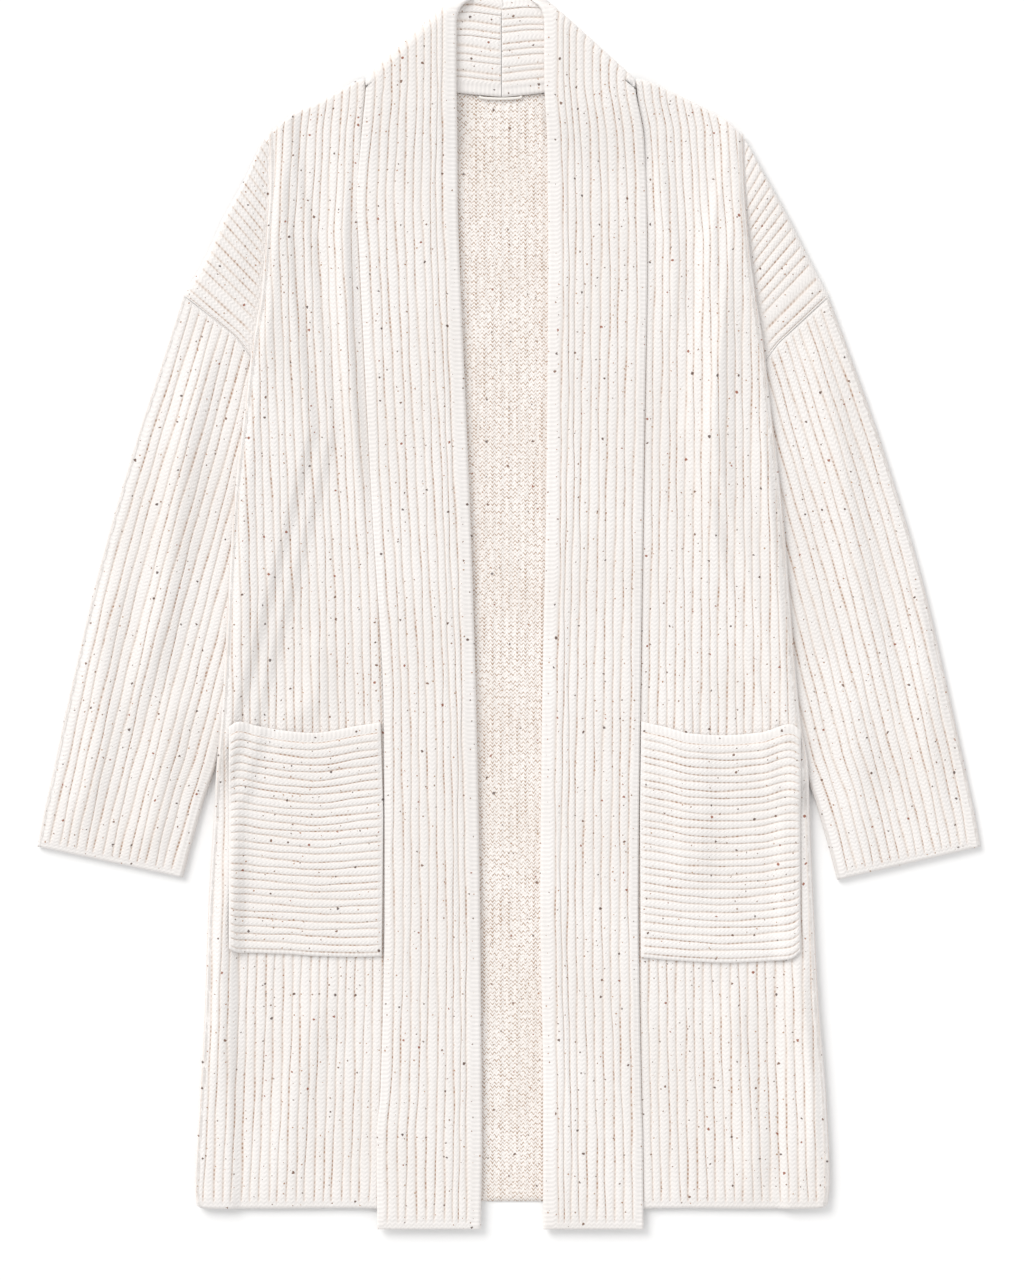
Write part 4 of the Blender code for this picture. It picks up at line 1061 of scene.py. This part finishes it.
def nepps(graph, colour, amount):
    """Lay flecks of coloured yarn over a colour."""
    place = graph.place()
    for size, share, radius, colours in NEPPS:
        wobble = graph.node("TexNoise", {"Vector": place, "Scale": 0.55 / radius})["Color"]
        warp = {0: wobble, 1: (radius * 2.2,) * 3, 2: place}
        warped = graph.node("VectorMath", warp, operation="MULTIPLY_ADD")[0]
        cell_inputs = {"Vector": warped, "Scale": 1 / size, "Randomness": 1.0}
        cells = graph.node("TexVoronoi", cell_inputs, voronoi_dimensions="2D")
        pick, spread, hue = graph.node("SeparateColor", {0: cells["Color"]})
        reach = graph.linear(spread, radius * 0.9 / size, radius * 0.45 / size)
        spot = graph.ramp(cells["Distance"], graph.times(reach, 0.6), reach)
        spot = graph.math("SUBTRACT", 1.0, spot)
        tint = colours[0]
        for k, other in enumerate(colours[1:], 1):
            tint = graph.mix(graph.math("GREATER_THAN", hue, k / len(colours)), tint, other)
        colour = graph.mix(graph.times(spot, graph.math("LESS_THAN", pick, share), amount), colour, tint)
    return colour


def knit_face(name):
    """Rib knit seen from its right side: rows of stitches, thin dotted grooves of painted shade, painted
    shade beside the grooves and between the stitch rows, and nepps.
    """
    graph = Graph(name)
    u, v, plain = graph.knit_coordinates()
    near, off = graph.grooves(u)
    ribbed = graph.math("SUBTRACT", 1.0, plain)
    course = graph.math("DIVIDE", v, STITCH)
    dots = graph.linear(graph.wave(course), 0.5, 0.5)
    uneven = graph.ramp(graph.stretched((near, 3.17), (v, 0.011), 0.0, 3.0), 0.36, 0.66)
    broken = graph.ramp(graph.stretched((near, 5.3), (v, 0.13), 4.0, 1.0), 0.38, 0.62)
    # Painted shade in the grooves: a dotted, broken dark line standing in for the shadow where the ribs dip
    groove_shade = graph.times(
        graph.ramp(off, 0.03, 0.125, 1.0, 0.0), ribbed, graph.linear(dots, 0.75, 0.3),
        graph.linear(uneven, 0.65, 0.35), graph.linear(broken, 0.6, 0.4),
    )
    place = graph.place()
    grain = graph.ramp(graph.noise(place, 420.0), 0.42, 0.7, 0.16, 0.0)
    slant = graph.times(graph.math("ABSOLUTE", graph.math("SUBTRACT", off, 0.25)), 2.2)
    legs = graph.wave(graph.math("ADD", course, slant))
    # Painted shade beside the grooves, where the ribs slope down into them
    hollow_shade = graph.times(graph.ramp(off, 0.02, 0.26, 0.6, 0.0), ribbed)
    colour = graph.mottled((shade(CREAM, (0.955, 0.948, 0.94)), CREAM), 9.0)
    colour = graph.mix(grain, colour, shade(CREAM, 0.8))
    # Painted shade between the stitch rows, where the stitch bump dips
    colour = graph.mix(graph.ramp(legs, -1.0, -0.35, 0.16, 0.0), colour, shade(CREAM, 0.72))
    # Painted shade: a warm tint beside the grooves, then dark brown in the grooves
    colour = graph.mix(hollow_shade, colour, HOLLOW_SHADE)
    colour = graph.mix(groove_shade, colour, graph.mix(uneven, *GROOVE_SHADE_TONES))
    height = graph.linear(legs, 0.5, graph.times(graph.noise(place, 1500.0), 0.8))
    return graph.wool(nepps(graph, colour, 0.92), height, 0.0005, 0.55)


def purl_face(name):
    """Inside of the rib knit: short crosswise loops, with painted shade in the gaps between them and in faint
    dotted columns.
    """
    graph = Graph(name)
    u, v, _ = graph.knit_coordinates()
    near, off = graph.grooves(u)
    course = graph.math("DIVIDE", v, PURL_COURSE)
    jitter = graph.stretched((u, 0.9), (v, 0.06), 0.0)
    shift = graph.times(graph.wave(graph.times(u, 2.0)), 0.3)
    loops = graph.wave(graph.math("ADD", graph.math("ADD", course, shift), graph.times(jitter, 1.1)))
    patchy = graph.ramp(graph.stretched((u, 2.2), (v, 0.3), 3.0), 0.38, 0.62, 0.1, 1.0)
    spotty = graph.ramp(graph.stretched((near, 2.9), (v, 0.02), 7.0), 0.42, 0.66)
    # Painted shade in dotted columns at the grooves, between the loops
    dotted = graph.times(
        graph.ramp(off, 0.04, 0.2, 1.0, 0.0), graph.ramp(loops, -1.0, 0.6, 0.9, 0.05), spotty,
    )
    colour = graph.mottled((shade(INSIDE, (0.95, 0.935, 0.92)), INSIDE), 14.0)
    # Painted shade in the gaps between the loops, in patches, then painted shade in the dotted columns
    colour = graph.mix(graph.times(graph.ramp(loops, -1.0, 0.2, 1.0, 0.0), patchy), colour, PURL_GAP_SHADE)
    colour = graph.mix(dotted, colour, PURL_DOT_SHADE)
    height = graph.linear(loops, 0.5, graph.times(graph.noise(graph.place(), 1300.0), 0.9))
    return graph.wool(nepps(graph, colour, 0.85), height, 0.0006, 0.6)


def cord_face(name):
    """Smooth pale cord of the hanger loop."""
    graph = Graph(name)
    colour = graph.mottled(CORD_TONES, 900.0, low=0.35)
    return graph.wool(colour, graph.noise(graph.place(), 2200.0, 1.0), 0.0003, 0.5)


def floor():
    """Plain pale floor under the garment."""
    bpy.ops.mesh.primitive_plane_add(size=12.0, location=(0.0, 0.0, -0.0004))
    plane = bpy.context.object
    plane.name = "floor"
    graph = Graph("floor")
    graph.plug(graph.shader.inputs["Base Color"], graph.mottled(FLOOR_TONES, 2.0, 1.0))
    graph.shader.inputs["Roughness"].default_value = 0.9
    graph.shader.inputs["Specular IOR Level"].default_value = 0.1
    plane.data.materials.append(graph.material)


def lights():
    """Soft light from the upper left and a bright even surround."""
    world = bpy.data.worlds.new("surround")
    bpy.context.scene.world = world
    world.use_nodes = True
    background = world.node_tree.nodes["Background"]
    background.inputs["Color"].default_value = (1.0, 1.0, 1.0, 1.0)
    background.inputs["Strength"].default_value = SURROUND
    data = bpy.data.lights.new("window", "SUN")
    data.energy = SUN
    data.angle = math.radians(SUN_WIDTH)
    data.color = SUN_COLOUR
    sun = bpy.data.objects.new("window", data)
    bpy.context.scene.collection.objects.link(sun)
    sun.rotation_euler = (math.radians(SUN_TILTS[0]), math.radians(SUN_TILTS[1]), 0.0)
    bpy.context.scene.view_settings.view_transform = "Standard"


def camera():
    """Camera straight above, framed as the picture is."""
    data = bpy.data.cameras.new("camera")
    data.lens = LENS
    data.sensor_width = 36.0
    data.clip_end = 20.0
    eye = bpy.data.objects.new("camera", data)
    bpy.context.scene.collection.objects.link(eye)
    eye.location = (*VIEW_CENTRE, VIEW_HEIGHT)
    bpy.context.scene.camera = eye


def settle(piece, node):
    """Let a piece ride on the one body and stand for its solid."""
    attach(piece, "root")
    if node:
        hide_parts(node)
    return piece


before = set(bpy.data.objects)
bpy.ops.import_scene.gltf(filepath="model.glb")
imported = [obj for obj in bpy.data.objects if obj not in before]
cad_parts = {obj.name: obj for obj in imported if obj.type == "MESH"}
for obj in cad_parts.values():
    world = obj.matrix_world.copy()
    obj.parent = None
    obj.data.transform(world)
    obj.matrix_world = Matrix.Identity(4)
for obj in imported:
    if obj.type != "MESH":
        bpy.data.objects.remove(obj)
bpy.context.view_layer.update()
camera()
lights()
floor()
face = knit_face("rib_knit")
inside = purl_face("purl_inside")
cord_finish = cord_face("loop_cord")

body_back = settle(back((inside, face)), "back")
for side in ("right", "left"):
    panel = settle(front(side, (face,)), side + "_front")
    yoke = settle(shoulder(side, (face,)), None)
    arm = settle(sleeve(side, (face,)), side + "_sleeve")
    strip = settle(band(side, (face,)), side + "_band")
    patch = settle(pocket(side, (face,)), side + "_pocket")
loop, loop_length, loop_exit = hanger_loop(cord_finish)
settle(loop, "hanger_loop")
